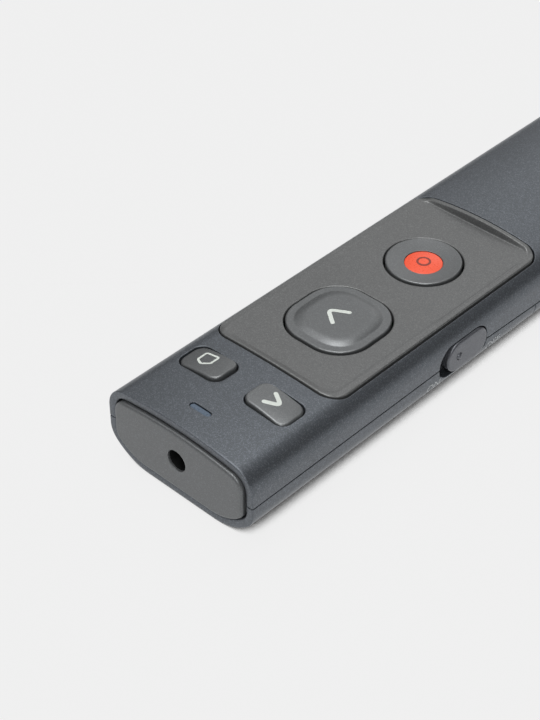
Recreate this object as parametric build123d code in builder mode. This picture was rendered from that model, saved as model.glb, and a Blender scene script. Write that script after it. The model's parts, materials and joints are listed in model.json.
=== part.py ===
from build123d import *
from math import cos, radians, sin
import os

# Wireless presentation clicker, in millimetres.
# +Z is up, +X is the side with the power switch, and -Y is the front with the laser aperture.
# The origin is the middle of the footprint, on the surface that the clicker rests on.
# Stations are distances along the casing, counted from its front rim towards the rear.

# Casing section: a flat base, large lower curves, upright sides, shoulders and a crowned top
width = 27.0
wall = 1.4
base_half_width = 5.0
low_radius = 3.4
low_centre_z = 5.4
shoulder_radius = 3.8
shoulder_centre_z = 8.35
front_crown_z = 12.9
panel_front_crown_z = 12.4
panel_rear_crown_z = 13.0
crown_rise_length = 24.0
rear_crown_drop = 0.3
front_edge_bevel = 0.3
rear_edge_radius = 1.6
end_wall = 1.6

# How far a cut runs past the face that it opens
overrun = 1.0

# Parting seam between the upper and lower casing
seam_front_z = 6.65
seam_rear_z = 5.8
seam_drop_station = 38.0
seam_gap = 0.12

# Front cap with the laser aperture
cap_rim = 1.3
cap_gap = 0.22
cap_depth = 1.35
cap_proud = 0.45
cap_edge = 0.35
cap_seat_wall = 1.5
aperture_diameter = 2.9
aperture_z = 6.65
aperture_bevel = 0.3
spigot_wall = 0.9
spigot_bore_gap = 0.15
spigot_length = 4.2

# Control panel, a flat plate set into the top
panel_station = 17.75
panel_length = 46.15
panel_side_margin = 2.0
panel_corner = 2.9
panel_floor_z = 11.95
panel_thickness = 1.2
panel_gap = 0.18
panel_front_ramp = 1.3
panel_rear_ramp = 0.9
shelf_thickness = 0.9
shelf_rim = 1.0

# Keys
key_gap = 0.16
key_travel = 0.3
key_flange_reach = 0.8
key_flange_thickness = 0.6
key_flange_gap = 0.03
key_stem_diameter = 3.0
next_key_width = 13.7
next_key_length = 14.0
next_key_corner = 4.7
next_key_station = 31.65
next_key_proud = 0.25
pillow_width = 10.9
pillow_length = 10.4
pillow_corner = 4.1
pillow_height = 0.5
pillow_round = 0.4
laser_key_diameter = 11.5
laser_key_station = 50.5
laser_key_proud = 0.25
laser_key_dish = 0.3
dot_diameter = 5.8
dot_thickness = 0.5
small_key_width = 7.6
small_key_length = 5.0
small_key_corner = 1.5
small_key_x = 6.14
small_key_station = 11.94
small_key_top_z = 12.8
small_shelf_z = 10.4
small_shelf_rim = 1.1
key_edge_round = 0.25

# Indicator window and its light pipe
window_width = 3.74
window_length = 1.04
window_station = 4.28
window_gap = 0.07
window_sink = 0.2
pipe_arm_z = 9.9
pipe_arm_height = 0.8
pipe_leg_width = 1.2
pipe_leg_x = 5.5
pipe_led_gap = 0.1

# Circuit board and what is soldered to it
board_side_gap = 1.1
board_thickness = 1.0
board_top_z = 6.2
board_station = 3.4
board_end_gap = 0.8
board_notch_width = 7.4
board_notch_station = 24.2
tact_size = 4.5
tact_height = 1.9
plunger_diameter = 2.0
plunger_gap = 0.1
plunger_top_z = 8.9
plunger_length = 1.3
post_diameter = 3.8
post_inset = 1.9
front_post_station = 26.5
rear_post_station = 55.5
screw_shank = 1.6
screw_head = 3.0
screw_head_height = 1.0
screw_gap = 0.05
board_screw_length = 3.4
led_width = 1.6
led_length = 0.8
led_height = 0.75
chip_size = 5.0
chip_height = 0.9
chip_inset = 4.7
chip_station = 40.5
crystal_width = 3.2
crystal_length = 2.5
crystal_height = 0.8
crystal_station = 34.0
antenna_width = 7.0
antenna_length = 2.0
antenna_height = 0.8
antenna_station = 54.8
capacitor_width = 1.0
capacitor_length = 1.8
capacitor_height = 0.9
capacitor_inset = 5.0
capacitor_station = 25.5
capacitor_pitch = 3.0
capacitor_group_pitch = 12.0

# Laser module
barrel_diameter = 6.0
barrel_length = 11.0
barrel_station = 6.6
barrel_bore = 4.4
saddle_thickness = 1.2
saddle_half_width = 4.2
saddle_gap = 0.02
saddle_stations = (9.0, 15.0)
lens_thickness = 1.2
lens_sink = 0.6
diode_length = 2.6
driver_width = 5.4
driver_length = 5.6
driver_thickness = 0.8

# Power switch on the side
knob_length = 8.95
knob_height = 5.4
knob_proud = 0.3
knob_station = 44.3
knob_z = 6.75
knob_gap = 0.13
switch_travel = 1.6
knob_flange_reach = 0.5
knob_flange_thickness = 0.7
knob_flange_gap = 0.15
knob_pocket_wall = 1.35
knob_round = 0.35
knob_pip_radius = 0.45
knob_pip_height = 0.2
knob_pip_offset = 2.0
slider_body_width = 2.7
slider_body_length = 6.6
slider_body_height = 1.6
slider_face_gap = 0.25
lever_width = 1.2
lever_height = 0.8
lever_reach = 1.4
lever_gap = 0.05
fork_wall = 0.8
fork_depth = 1.2

# Battery door and its rails
door_gap = 0.14
door_wall = 1.2
bulkhead_station = 60.85
bulkhead_wall = 1.4
ear_length = 4.2
ear_width = 4.3
ear_side_gap = 2.8
ear_top_z = 5.0
case_screw_inset = 2.2
case_screw_length = 5.0
ear_gap = 0.2
boss_diameter = 4.2
rail_z = 4.0
rail_height = 0.7
rail_reach = 2.3
rail_gap = 0.15
grip_groove_count = 5
grip_groove_pitch = 1.6
grip_groove_width = 0.7
grip_groove_length = 8.0
grip_groove_depth = 0.35
grip_groove_station = 68.0

# Size AAA cell, its tray and contacts
cell_diameter = 10.5
cell_length = 44.5
cell_nub_diameter = 3.8
cell_nub_height = 0.8
cell_door_gap = 0.15
cell_side_gap = 0.25
cell_roof_gap = 0.35
tray_gap = 0.15
tray_front_wall = 1.2
tray_slot_half_width = 3.6
contact_thickness = 0.4
contact_width = 6.4
contact_height = 6.4
contact_tab_width = 1.6
contact_tab_x = -2.2
lead_thickness = 0.25
lead_height = 1.4
lead_gap = 0.1
spring_length = 3.8
spring_radius = 2.9
spring_wire = 0.5
spring_turns = 3
tray_screw_inset = 4.2
tray_screw_setback = 4.5
tray_screw_z = 4.0
tray_screw_length = 5.6
tray_boss_z = 8.0

# Plug-in radio receiver stored in the tail
plug_width = 12.0
plug_height = 4.5
plug_length = 11.8
plug_sheet = 0.3
plug_gap = 0.2
plug_pocket_wall = 1.2
tongue_height = 1.9
tongue_length = 10.6
tongue_gap = 0.1
pin_width = 1.0
pin_length = 7.0
pin_height = 0.08
pin_pitch = 2.4
receiver_width = 14.0
receiver_height = 5.4
receiver_length = 6.5
receiver_corner = 1.2
receiver_gap = 0.17
receiver_z = 8.65
receiver_proud = 0.5

# Stations and heights that follow from the sizes above
half_width = width / 2
panel_width = width - 2 * panel_side_margin
panel_end = panel_station + panel_length
shelf_end = panel_end + panel_gap + shelf_rim
cap_seat = cap_depth + cap_seat_wall
tray_station = shelf_end + tray_gap
plus_plate = tray_station + tray_front_wall
cell_station = plus_plate + contact_thickness + cell_nub_height
cell_end = cell_station + cell_length - cell_nub_height
minus_plate = cell_end + spring_length
bay_end = minus_plate + contact_thickness
plug_tip = bay_end + plug_pocket_wall + plug_gap
housing_face = plug_tip + plug_length
length = housing_face + receiver_length - receiver_proud
cavity_end = length - end_wall
tray_end = cavity_end - tray_gap
door_station = bulkhead_station + door_gap
board_end = bulkhead_station - bulkhead_wall - board_end_gap
cell_axis_z = door_wall + cell_door_gap + cell_diameter / 2
grip_crown_z = cell_axis_z + cell_diameter / 2 + cell_roof_gap + wall
shelf_z = panel_floor_z - panel_thickness - shelf_thickness
panel_base_z = panel_floor_z - panel_thickness
slot_length = knob_length + switch_travel + 2 * knob_gap
slot_height = knob_height + 2 * knob_gap
slot_station = knob_station - switch_travel / 2
pocket_x = half_width - knob_pocket_wall
knob_back_x = pocket_x - knob_flange_gap
fork_x = knob_back_x - knob_flange_thickness
slider_face_x = fork_x - fork_depth - slider_face_gap
slider_body_x = slider_face_x - slider_body_width / 2
board_width = 2 * (fork_x - board_side_gap)
post_x = board_width / 2 - post_inset
chip_x = chip_inset - board_width / 2
capacitor_x = board_width / 2 - capacitor_inset
post_stations = (front_post_station, rear_post_station)
capacitor_stations = [
    capacitor_station + group + step
    for group in (0, capacitor_group_pitch)
    for step in (0, capacitor_pitch)
]
ear_outer_x = half_width - ear_side_gap
ear_inner_x = ear_outer_x - ear_width
case_screw_x = ear_outer_x - case_screw_inset
rail_inner_x = half_width - rail_reach
tray_screw_x = half_width - tray_screw_inset
above = front_crown_z + grip_crown_z

# Height of the crown at stations along the casing, straight between them
crown_line = {
    0.0: front_crown_z,
    panel_station: panel_front_crown_z,
    panel_end: panel_rear_crown_z,
    panel_end + crown_rise_length: grip_crown_z,
    length: grip_crown_z - rear_crown_drop,
}


def along(station):
    return station - length / 2


def crown_at(station):
    stations = list(crown_line)
    for near, far in zip(stations, stations[1:]):
        if station <= far:
            share = (station - near) / (far - near)
            return crown_line[near] + share * (crown_line[far] - crown_line[near])
    return crown_line[stations[-1]]


def tangent_radius(crown_z):
    # radius of the crown arc that passes the middle and touches both shoulder circles
    reach = half_width - shoulder_radius
    rise = crown_z - shoulder_centre_z
    return (reach**2 + rise**2 - shoulder_radius**2) / (2 * (rise - shoulder_radius))


def casing_section(station, inset):
    # one closed section, moved inwards by inset all round
    crown_z = crown_at(station)
    low_x = half_width - low_radius - base_half_width
    base_radius = (low_x**2 + low_centre_z**2 - low_radius**2) / (2 * (low_centre_z - low_radius))
    low_slope = Vector(low_x, low_centre_z - base_radius).normalized()
    base_end = Vector(base_half_width, base_radius) + low_slope * (base_radius - inset)
    crown_centre_z = crown_z - tangent_radius(crown_z)
    shoulder = Vector(half_width - shoulder_radius, shoulder_centre_z)
    shoulder_slope = (shoulder - Vector(0, crown_centre_z)).normalized()
    crown_end = shoulder + shoulder_slope * (shoulder_radius - inset)
    with BuildSketch(Plane.XZ.offset(-along(station))) as section:
        with BuildLine():
            base = Line((0, inset), (base_half_width, inset))
            bilge = TangentArc(base @ 1, base_end, tangent=base % 1)
            low = TangentArc(bilge @ 1, (half_width - inset, low_centre_z), tangent=bilge % 1)
            side = Line(low @ 1, (half_width - inset, shoulder_centre_z))
            corner = TangentArc(side @ 1, crown_end, tangent=side % 1)
            TangentArc(corner @ 1, (0, crown_z - inset), tangent=corner % 1)
            mirror(about=Plane.YZ)
        make_face()
    return section.sketch


def casing_form(inset, start, end):
    # solid casing between two stations, with the rounded end edges where it reaches them
    places = [(start, inset)]
    if start == 0:
        places = [(0, inset + front_edge_bevel), (front_edge_bevel, inset)]
    places += [(s, inset) for s in crown_line if places[-1][0] < s < end - rear_edge_radius]
    if end == length:
        for angle in (0, 30, 60, 90):
            setback = rear_edge_radius * (1 - sin(radians(angle)))
            places.append((end - setback, inset + rear_edge_radius * (1 - cos(radians(angle)))))
    else:
        places.append((end, inset))
    with BuildPart() as form:
        for station, depth in places:
            add(casing_section(station, depth))
        loft(ruled=True)
    return form.part


def seam_zone(shift, upward):
    # everything above or below the parting seam, moved by shift in height
    far = above if upward else -above
    with BuildPart() as zone:
        with BuildSketch(Plane.YZ):
            with BuildLine():
                Polyline(
                    (along(-above), seam_front_z + shift),
                    (along(seam_drop_station), seam_front_z + shift),
                    (along(bulkhead_station), seam_rear_z + shift),
                    (along(length + above), seam_rear_z + shift),
                    (along(length + above), far),
                    (along(-above), far),
                    close=True,
                )
            make_face()
        extrude(amount=width, both=True)
    return zone.part


def plate(x_size, y_size, corner, z, height, station, x=0.0):
    # rounded plate standing on height z
    with BuildPart() as body:
        with BuildSketch(Plane.XY.offset(z)):
            with Locations((x, along(station))):
                RectangleRounded(x_size, y_size, corner)
        extrude(amount=height)
    return body.part


def block(x_from, x_to, s_from, s_to, z_from, z_to):
    # straight block between two corners
    with BuildPart() as body:
        with BuildSketch(Plane.XY.offset(z_from)):
            with Locations(((x_from + x_to) / 2, along((s_from + s_to) / 2))):
                Rectangle(x_to - x_from, s_to - s_from)
        extrude(amount=z_to - z_from)
    return body.part


def upright(diameter, x, station, z_from, z_to):
    # round pin, post or hole that stands upright
    with BuildPart() as body:
        with BuildSketch(Plane.XY.offset(z_from)):
            with Locations((x, along(station))):
                Circle(diameter / 2)
        extrude(amount=z_to - z_from)
    return body.part


def rod(diameter, z, s_from, s_to, inner=0.0):
    # round bar or tube lying along the casing, above its middle line
    with BuildPart() as body:
        with BuildSketch(Plane.XZ.offset(-along(s_to))):
            with Locations((0, z)):
                Circle(diameter / 2)
                if inner:
                    Circle(inner / 2, mode=Mode.SUBTRACT)
        extrude(amount=s_to - s_from)
    return body.part


def stadium(x_from, x_to, slot_l, slot_h, station):
    # upright slot with round ends, as deep as the two places along X
    with BuildPart() as body:
        with BuildSketch(Plane.YZ.offset(x_from)):
            with Locations((along(station), knob_z)):
                SlotOverall(slot_l, slot_h)
        extrude(amount=x_to - x_from)
    return body.part


def front_prism(inset, s_from, s_to):
    # straight prism with the outline of the front rim, moved inwards by inset
    with BuildPart() as body:
        add(casing_section(0, inset).moved(Location((0, s_to, 0))))
        extrude(amount=s_to - s_from, dir=(0, -1, 0))
    return body.part


def screws(places, head_z, reach):
    # pairs of pan-head screws, left and right, driven upwards (reach > 0) or downwards
    with BuildPart() as body:
        for x, station in places:
            for side in (-x, x):
                add(upright(screw_head, side, station, head_z, head_z + screw_head_height))
                shank_z = head_z + screw_head_height if reach > 0 else head_z + reach
                add(upright(screw_shank, side, station, shank_z, shank_z + abs(reach)))
    return body.part


def save(builder, name):
    builder.part.label = name
    export_step(builder.part, f"parts/{name}.step")


os.makedirs("parts", exist_ok=True)

outer = casing_form(0, 0, length)
cavity = casing_form(wall, cap_seat, cavity_end)
spigot_bore = aperture_diameter + 2 * spigot_bore_gap
spigot_diameter = spigot_bore + 2 * spigot_wall
screw_hole = screw_shank + 2 * screw_gap
head_hole = screw_head + 2 * key_gap
case_screw_station = bulkhead_station + ear_length / 2
case_screw_z = ear_top_z - 2 * screw_head_height
tray_screw_station = plug_tip + tray_screw_setback
key_stop_z = shelf_z - key_flange_gap
small_stop_z = small_shelf_z - key_flange_gap
board_base_z = board_top_z - board_thickness
tact_top_z = board_top_z + tact_height
flange_half = knob_length / 2 + switch_travel + knob_flange_reach
flange_half_height = knob_height / 2 + knob_flange_reach
lever_z = board_top_z + slider_body_height / 2
trough_radius = cell_diameter / 2 + cell_side_gap
lead_x = trough_radius + 2 * lead_gap + lead_thickness
lead_in, lead_out = lead_x - lead_thickness - lead_gap, lead_x + lead_gap
lead_low, lead_high = board_top_z - lead_gap, board_top_z + lead_height + lead_gap
board_foot = board_end - contact_tab_width
barrel_end = barrel_station + barrel_length
key_places = (
    (-small_key_x, small_key_station),
    (small_key_x, small_key_station),
    (0, next_key_station),
    (0, laser_key_station),
)

# What the upper and lower casing both leave free: the cap seat, the aperture tube and the switch
with BuildPart() as shared_cuts:
    add(front_prism(cap_rim - cap_gap, -cap_depth, cap_depth))
    add(rod(spigot_diameter + 2 * screw_gap, aperture_z, 0, cap_seat + overrun))
    add(stadium(knob_back_x, half_width + overrun, slot_length, slot_height, slot_station))
    add(
        block(
            knob_back_x - 2 * knob_flange_thickness,
            pocket_x,
            knob_station - switch_travel - flange_half - knob_flange_gap,
            knob_station + flange_half + knob_flange_gap,
            knob_z - flange_half_height - knob_flange_gap,
            knob_z + flange_half_height + knob_flange_gap,
        )
    )

# Upper casing: full length, with the shelf that carries the panel and the screw bosses
shelf_half = panel_width / 2 + panel_gap + shelf_rim
small_shelf_half = small_key_x + small_key_width / 2 + small_shelf_rim
small_shelf_reach = small_key_length / 2 + small_shelf_rim
with BuildPart() as top_shell:
    add(outer)
    add(cavity, mode=Mode.SUBTRACT)
    add(block(-shelf_half, shelf_half, panel_station - panel_gap - shelf_rim, shelf_end, shelf_z, above))
    add(
        block(
            -small_shelf_half,
            small_shelf_half,
            small_key_station - small_shelf_reach,
            small_key_station + small_shelf_reach,
            small_shelf_z,
            above,
        )
    )
    for side in (-1, 1):
        add(upright(boss_diameter, side * case_screw_x, case_screw_station, ear_top_z + screw_gap, above))
        add(upright(boss_diameter, side * tray_screw_x, tray_screw_station, tray_boss_z + screw_gap, above))
    add(outer, mode=Mode.INTERSECT)
    add(seam_zone(0, True), mode=Mode.INTERSECT)
    add(shared_cuts.part, mode=Mode.SUBTRACT)
    add(rod(2 * trough_radius, cell_axis_z, tray_station, bay_end), mode=Mode.SUBTRACT)
    add(block(lead_in, lead_out, board_foot, tray_station, lead_low, lead_high), mode=Mode.SUBTRACT)
    add(
        plate(
            panel_width + 2 * panel_gap,
            panel_length + 2 * panel_gap,
            panel_corner + panel_gap,
            panel_base_z,
            above,
            panel_station + panel_length / 2,
        ),
        mode=Mode.SUBTRACT,
    )
    add(
        plate(
            next_key_width + 2 * key_gap,
            next_key_length + 2 * key_gap,
            next_key_corner + key_gap,
            shelf_z - overrun,
            above,
            next_key_station,
        ),
        mode=Mode.SUBTRACT,
    )
    laser_hole = laser_key_diameter + 2 * key_gap
    add(upright(laser_hole, 0, laser_key_station, shelf_z - overrun, above), mode=Mode.SUBTRACT)
    for side in (-1, 1):
        add(
            plate(
                small_key_width + 2 * key_gap,
                small_key_length + 2 * key_gap,
                small_key_corner + key_gap,
                small_shelf_z - overrun,
                above,
                small_key_station,
                side * small_key_x,
            ),
            mode=Mode.SUBTRACT,
        )
        screw_tip = case_screw_z + screw_head_height + case_screw_length + screw_gap
        add(upright(screw_hole, side * case_screw_x, case_screw_station, 0, screw_tip), mode=Mode.SUBTRACT)
        screw_tip = tray_screw_z + screw_head_height + tray_screw_length + screw_gap
        add(upright(screw_hole, side * tray_screw_x, tray_screw_station, 0, screw_tip), mode=Mode.SUBTRACT)
    with BuildSketch(Plane.XY.offset(pipe_arm_z)):
        with Locations((0, along(window_station))):
            SlotOverall(window_width, window_length)
    extrude(amount=above, mode=Mode.SUBTRACT)
    mouth_half = receiver_width / 2 + receiver_gap
    mouth_top = receiver_z + receiver_height / 2 + receiver_gap
    mouth_end = length + overrun
    add(block(-mouth_half, mouth_half, housing_face - overrun, mouth_end, 0, mouth_top), mode=Mode.SUBTRACT)
save(top_shell, "top_shell")

# Lower casing: front half only, with posts for the board and cradles for the laser barrel
lower_form = casing_form(0, 0, bulkhead_station)
with BuildPart() as bottom_shell:
    add(lower_form)
    add(casing_form(wall, cap_seat, bulkhead_station - bulkhead_wall), mode=Mode.SUBTRACT)
    for side in (-1, 1):
        for station in post_stations:
            add(upright(post_diameter, side * post_x, station, 0, board_base_z))
    for station in saddle_stations:
        add(
            block(
                -saddle_half_width,
                saddle_half_width,
                station - saddle_thickness / 2,
                station + saddle_thickness / 2,
                0,
                board_base_z - key_gap,
            )
        )
    add(lower_form, mode=Mode.INTERSECT)
    cradle = barrel_diameter + 2 * saddle_gap
    add(rod(cradle, aperture_z, barrel_station, barrel_end), mode=Mode.SUBTRACT)
    add(seam_zone(-seam_gap, False), mode=Mode.INTERSECT)
    add(shared_cuts.part, mode=Mode.SUBTRACT)
    for side in (-1, 1):
        for station in post_stations:
            pilot_z = board_top_z - board_screw_length - screw_gap
            add(upright(screw_hole, side * post_x, station, pilot_z, above), mode=Mode.SUBTRACT)

ear_form = casing_form(door_wall + ear_gap, bulkhead_station - bulkhead_wall, bulkhead_station + ear_length)
with BuildPart() as ears:
    for side in (-1, 1):
        x_low, x_high = sorted((side * ear_inner_x, side * ear_outer_x))
        ear_start = bulkhead_station - bulkhead_wall / 2
        add(block(x_low, x_high, ear_start, bulkhead_station + ear_length, 0, ear_top_z))
    add(ear_form, mode=Mode.INTERSECT)
    for side in (-1, 1):
        head_top = case_screw_z + screw_head_height
        add(upright(screw_hole, side * case_screw_x, case_screw_station, 0, above), mode=Mode.SUBTRACT)
        add(upright(head_hole, side * case_screw_x, case_screw_station, 0, head_top), mode=Mode.SUBTRACT)

with bottom_shell:
    add(ears.part)
save(bottom_shell, "bottom_shell")

# Battery door: the rear half of the lower casing, which slides off to the rear on two rails
with BuildPart() as battery_door:
    add(casing_form(0, door_station, length))
    add(casing_form(door_wall, door_station - overrun, cavity_end), mode=Mode.SUBTRACT)
    add(seam_zone(-seam_gap, False), mode=Mode.INTERSECT)
    for side in (-1, 1):
        x_low, x_high = sorted((side * rail_inner_x, side * (half_width - door_wall / 2)))
        add(block(x_low, x_high, door_station + overrun, cavity_end - overrun, rail_z, rail_z + rail_height))
    for count in range(grip_groove_count):
        station = grip_groove_station + count * grip_groove_pitch
        add(
            block(
                -grip_groove_length / 2,
                grip_groove_length / 2,
                station - grip_groove_width / 2,
                station + grip_groove_width / 2,
                -overrun,
                grip_groove_depth,
            ),
            mode=Mode.SUBTRACT,
        )
save(battery_door, "battery_door")

# Front cap with its aperture tube
with BuildPart() as front_cap:
    add(front_prism(cap_rim, cap_edge - cap_proud, cap_depth))
    add(casing_section(0, cap_rim).moved(Location((0, cap_edge - cap_proud, 0))))
    add(casing_section(0, cap_rim + cap_edge).moved(Location((0, -cap_proud, 0))))
    loft(ruled=True)
    add(rod(spigot_diameter, aperture_z, cap_depth, cap_depth + spigot_length))
    add(rod(spigot_bore, aperture_z, cap_depth, above), mode=Mode.SUBTRACT)
    add(rod(aperture_diameter, aperture_z, -above, above), mode=Mode.SUBTRACT)
    with BuildSketch(Plane.XZ.offset(-along(-cap_proud))):
        with Locations((0, aperture_z)):
            Circle(aperture_diameter / 2 + aperture_bevel)
    extrude(amount=-aperture_bevel, taper=45, mode=Mode.SUBTRACT)
save(front_cap, "front_cap")

# Control panel: flat floor, with ramps up to the casing at its front and rear ends
panel_middle = panel_station + panel_length / 2
with BuildPart() as control_panel:
    add(casing_form(0, panel_station - overrun, panel_end + overrun))
    add(
        plate(panel_width, panel_length, panel_corner, panel_base_z, above, panel_middle),
        mode=Mode.INTERSECT,
    )
    with BuildSketch(Plane.YZ):
        with BuildLine():
            Polyline(
                (along(panel_station + key_edge_round), above),
                (along(panel_station + key_edge_round), panel_front_crown_z),
                (along(panel_station + panel_front_ramp), panel_floor_z),
                (along(panel_end - panel_rear_ramp), panel_floor_z),
                (along(panel_end - key_edge_round), panel_rear_crown_z),
                (along(panel_end - key_edge_round), above),
                close=True,
            )
        make_face()
    extrude(amount=width, both=True, mode=Mode.SUBTRACT)
    add(
        plate(
            next_key_width + 2 * key_gap,
            next_key_length + 2 * key_gap,
            next_key_corner + key_gap,
            0,
            above,
            next_key_station,
        ),
        mode=Mode.SUBTRACT,
    )
    add(upright(laser_hole, 0, laser_key_station, 0, above), mode=Mode.SUBTRACT)
save(control_panel, "control_panel")


def key_flange(x_size, y_size, corner, stop_z, station, x=0.0):
    # retaining flange below the shelf, with the stem that meets the plunger
    reach = 2 * key_flange_reach
    flange_z = stop_z - key_flange_thickness
    with BuildPart() as body:
        add(
            plate(
                x_size + reach,
                y_size + reach,
                corner + key_flange_reach,
                flange_z,
                key_flange_thickness,
                station,
                x,
            )
        )
        add(upright(key_stem_diameter, x, station, plunger_top_z, flange_z))
    return body.part


# Next key: a rounded square with a raised pillow inside a flat rim
rim_z = panel_floor_z + next_key_proud
with BuildPart() as next_button:
    add(
        plate(
            next_key_width,
            next_key_length,
            next_key_corner,
            key_stop_z,
            rim_z - key_stop_z,
            next_key_station,
        )
    )
    fillet(next_button.faces().sort_by(Axis.Z)[-1].edges(), key_edge_round)
    with BuildSketch(Plane.XY.offset(rim_z)):
        with Locations((0, along(next_key_station))):
            RectangleRounded(pillow_width, pillow_length, pillow_corner)
    extrude(amount=pillow_height)
    fillet(next_button.faces().sort_by(Axis.Z)[-1].edges(), pillow_round)
    add(key_flange(next_key_width, next_key_length, next_key_corner, key_stop_z, next_key_station))
save(next_button, "next_button")

# Laser key: a lightly dished disc with a coloured dot set into it
disc_z = panel_floor_z + laser_key_proud
dish_reach = laser_key_diameter / 2 - 2 * key_edge_round
dish_radius = (dish_reach**2 + laser_key_dish**2) / (2 * laser_key_dish)
dot_base_z = disc_z - laser_key_dish - dot_thickness
with BuildPart() as dish:
    with Locations((0, along(laser_key_station), disc_z - laser_key_dish + dish_radius)):
        Sphere(dish_radius)
with BuildPart() as laser_button:
    add(upright(laser_key_diameter, 0, laser_key_station, key_stop_z, disc_z))
    fillet(laser_button.faces().sort_by(Axis.Z)[-1].edges(), key_edge_round)
    add(dish.part, mode=Mode.SUBTRACT)
    add(upright(dot_diameter, 0, laser_key_station, dot_base_z, above), mode=Mode.SUBTRACT)
    laser_flange = laser_key_diameter + 2 * key_flange_reach
    add(
        upright(
            laser_flange, 0, laser_key_station, key_stop_z - key_flange_thickness, key_stop_z
        )
    )
    add(
        upright(
            key_stem_diameter, 0, laser_key_station, plunger_top_z, key_stop_z - key_flange_thickness
        )
    )
save(laser_button, "laser_button")

with BuildPart() as laser_button_dot:
    add(upright(dot_diameter, 0, laser_key_station, dot_base_z, disc_z))
    add(dish.part, mode=Mode.SUBTRACT)
save(laser_button_dot, "laser_button_dot")

# The two small keys in front of the panel
for name, side in (("home_button", -1), ("back_button", 1)):
    with BuildPart() as small_key:
        add(
            plate(
                small_key_width,
                small_key_length,
                small_key_corner,
                small_stop_z,
                small_key_top_z - small_stop_z,
                small_key_station,
                side * small_key_x,
            )
        )
        fillet(small_key.faces().sort_by(Axis.Z)[-1].edges(), 2 * key_edge_round)
        add(
            key_flange(
                small_key_width,
                small_key_length,
                small_key_corner,
                small_stop_z,
                small_key_station,
                side * small_key_x,
            )
        )
    save(small_key, name)

# Indicator light pipe: window, arm under the casing and leg down to the lamp on the board
window_top = crown_at(window_station) - window_sink
with BuildPart() as indicator_light_pipe:
    with BuildSketch(Plane.XY.offset(pipe_arm_z)):
        with Locations((0, along(window_station))):
            SlotOverall(window_width - 2 * window_gap, window_length - 2 * window_gap)
    extrude(amount=window_top - pipe_arm_z)
    arm_half = window_length / 2 - window_gap
    arm_start = window_length / 2 - window_width / 2
    leg_out = pipe_leg_x + pipe_leg_width / 2
    near, far = window_station - arm_half, window_station + arm_half
    add(block(arm_start, leg_out, near, far, pipe_arm_z, pipe_arm_z + pipe_arm_height))
    leg_z = board_top_z + led_height + pipe_led_gap
    add(block(leg_out - pipe_leg_width, leg_out, near, far, leg_z, pipe_arm_z))
save(indicator_light_pipe, "indicator_light_pipe")

# Main board, notched at the front for the laser
with BuildPart() as main_board:
    add(block(-board_width / 2, board_width / 2, board_station, board_end, board_base_z, board_top_z))
    add(
        block(
            -board_notch_width / 2,
            board_notch_width / 2,
            board_station - overrun,
            board_notch_station,
            0,
            above,
        ),
        mode=Mode.SUBTRACT,
    )
    for side in (-1, 1):
        for station in post_stations:
            add(upright(screw_hole, side * post_x, station, 0, above), mode=Mode.SUBTRACT)
save(main_board, "main_board")

with BuildPart() as tact_switches:
    for x, station in key_places:
        half = tact_size / 2
        add(block(x - half, x + half, station - half, station + half, board_top_z, tact_top_z))
    for x, station in key_places:
        bore = plunger_diameter + 2 * plunger_gap
        well_z = plunger_top_z - plunger_length - key_travel - plunger_gap
        add(upright(bore, x, station, well_z, above), mode=Mode.SUBTRACT)
save(tact_switches, "tact_switches")

plunger_names = ("home_plunger", "back_plunger", "next_plunger", "laser_plunger")
for name, (x, station) in zip(plunger_names, key_places):
    with BuildPart() as plunger:
        add(upright(plunger_diameter, x, station, plunger_top_z - plunger_length, plunger_top_z))
    save(plunger, name)

with BuildPart() as board_screws:
    add(screws([(post_x, station) for station in post_stations], board_top_z, -board_screw_length))
save(board_screws, "board_screws")

with BuildPart() as case_screws:
    add(screws([(case_screw_x, case_screw_station)], case_screw_z, case_screw_length))
save(case_screws, "case_screws")

with BuildPart() as tray_screws:
    add(screws([(tray_screw_x, tray_screw_station)], tray_screw_z, tray_screw_length))
save(tray_screws, "tray_screws")

# Parts soldered to the board: name, width, length, height and places
board_parts = (
    ("indicator_lamp", led_width, led_length, led_height, [(pipe_leg_x, window_station)]),
    ("radio_chip", chip_size, chip_size, chip_height, [(chip_x, chip_station)]),
    ("crystal", crystal_width, crystal_length, crystal_height, [(chip_x, crystal_station)]),
    ("chip_antenna", antenna_width, antenna_length, antenna_height, [(0, antenna_station)]),
    (
        "capacitors",
        capacitor_width,
        capacitor_length,
        capacitor_height,
        [(capacitor_x, station) for station in capacitor_stations],
    ),
)
for name, x_size, y_size, height, places in board_parts:
    with BuildPart() as component:
        for x, station in places:
            near, far = station - y_size / 2, station + y_size / 2
            add(block(x - x_size / 2, x + x_size / 2, near, far, board_top_z, board_top_z + height))
    save(component, name)

# Laser module: barrel, lens, diode and driver board
bore_part = barrel_bore - 2 * saddle_gap
with BuildPart() as laser_barrel:
    add(rod(barrel_diameter, aperture_z, barrel_station, barrel_end, barrel_bore))
save(laser_barrel, "laser_barrel")

with BuildPart() as laser_lens:
    lens_station = barrel_station + lens_sink
    add(rod(bore_part, aperture_z, lens_station, lens_station + lens_thickness))
save(laser_lens, "laser_lens")

with BuildPart() as laser_diode:
    add(rod(bore_part, aperture_z, barrel_end - diode_length, barrel_end))
save(laser_diode, "laser_diode")

with BuildPart() as laser_driver:
    driver_half = driver_thickness / 2
    add(
        block(
            -driver_width / 2,
            driver_width / 2,
            barrel_end,
            barrel_end + driver_length,
            aperture_z - driver_half,
            aperture_z + driver_half,
        )
    )
save(laser_driver, "laser_driver")

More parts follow.
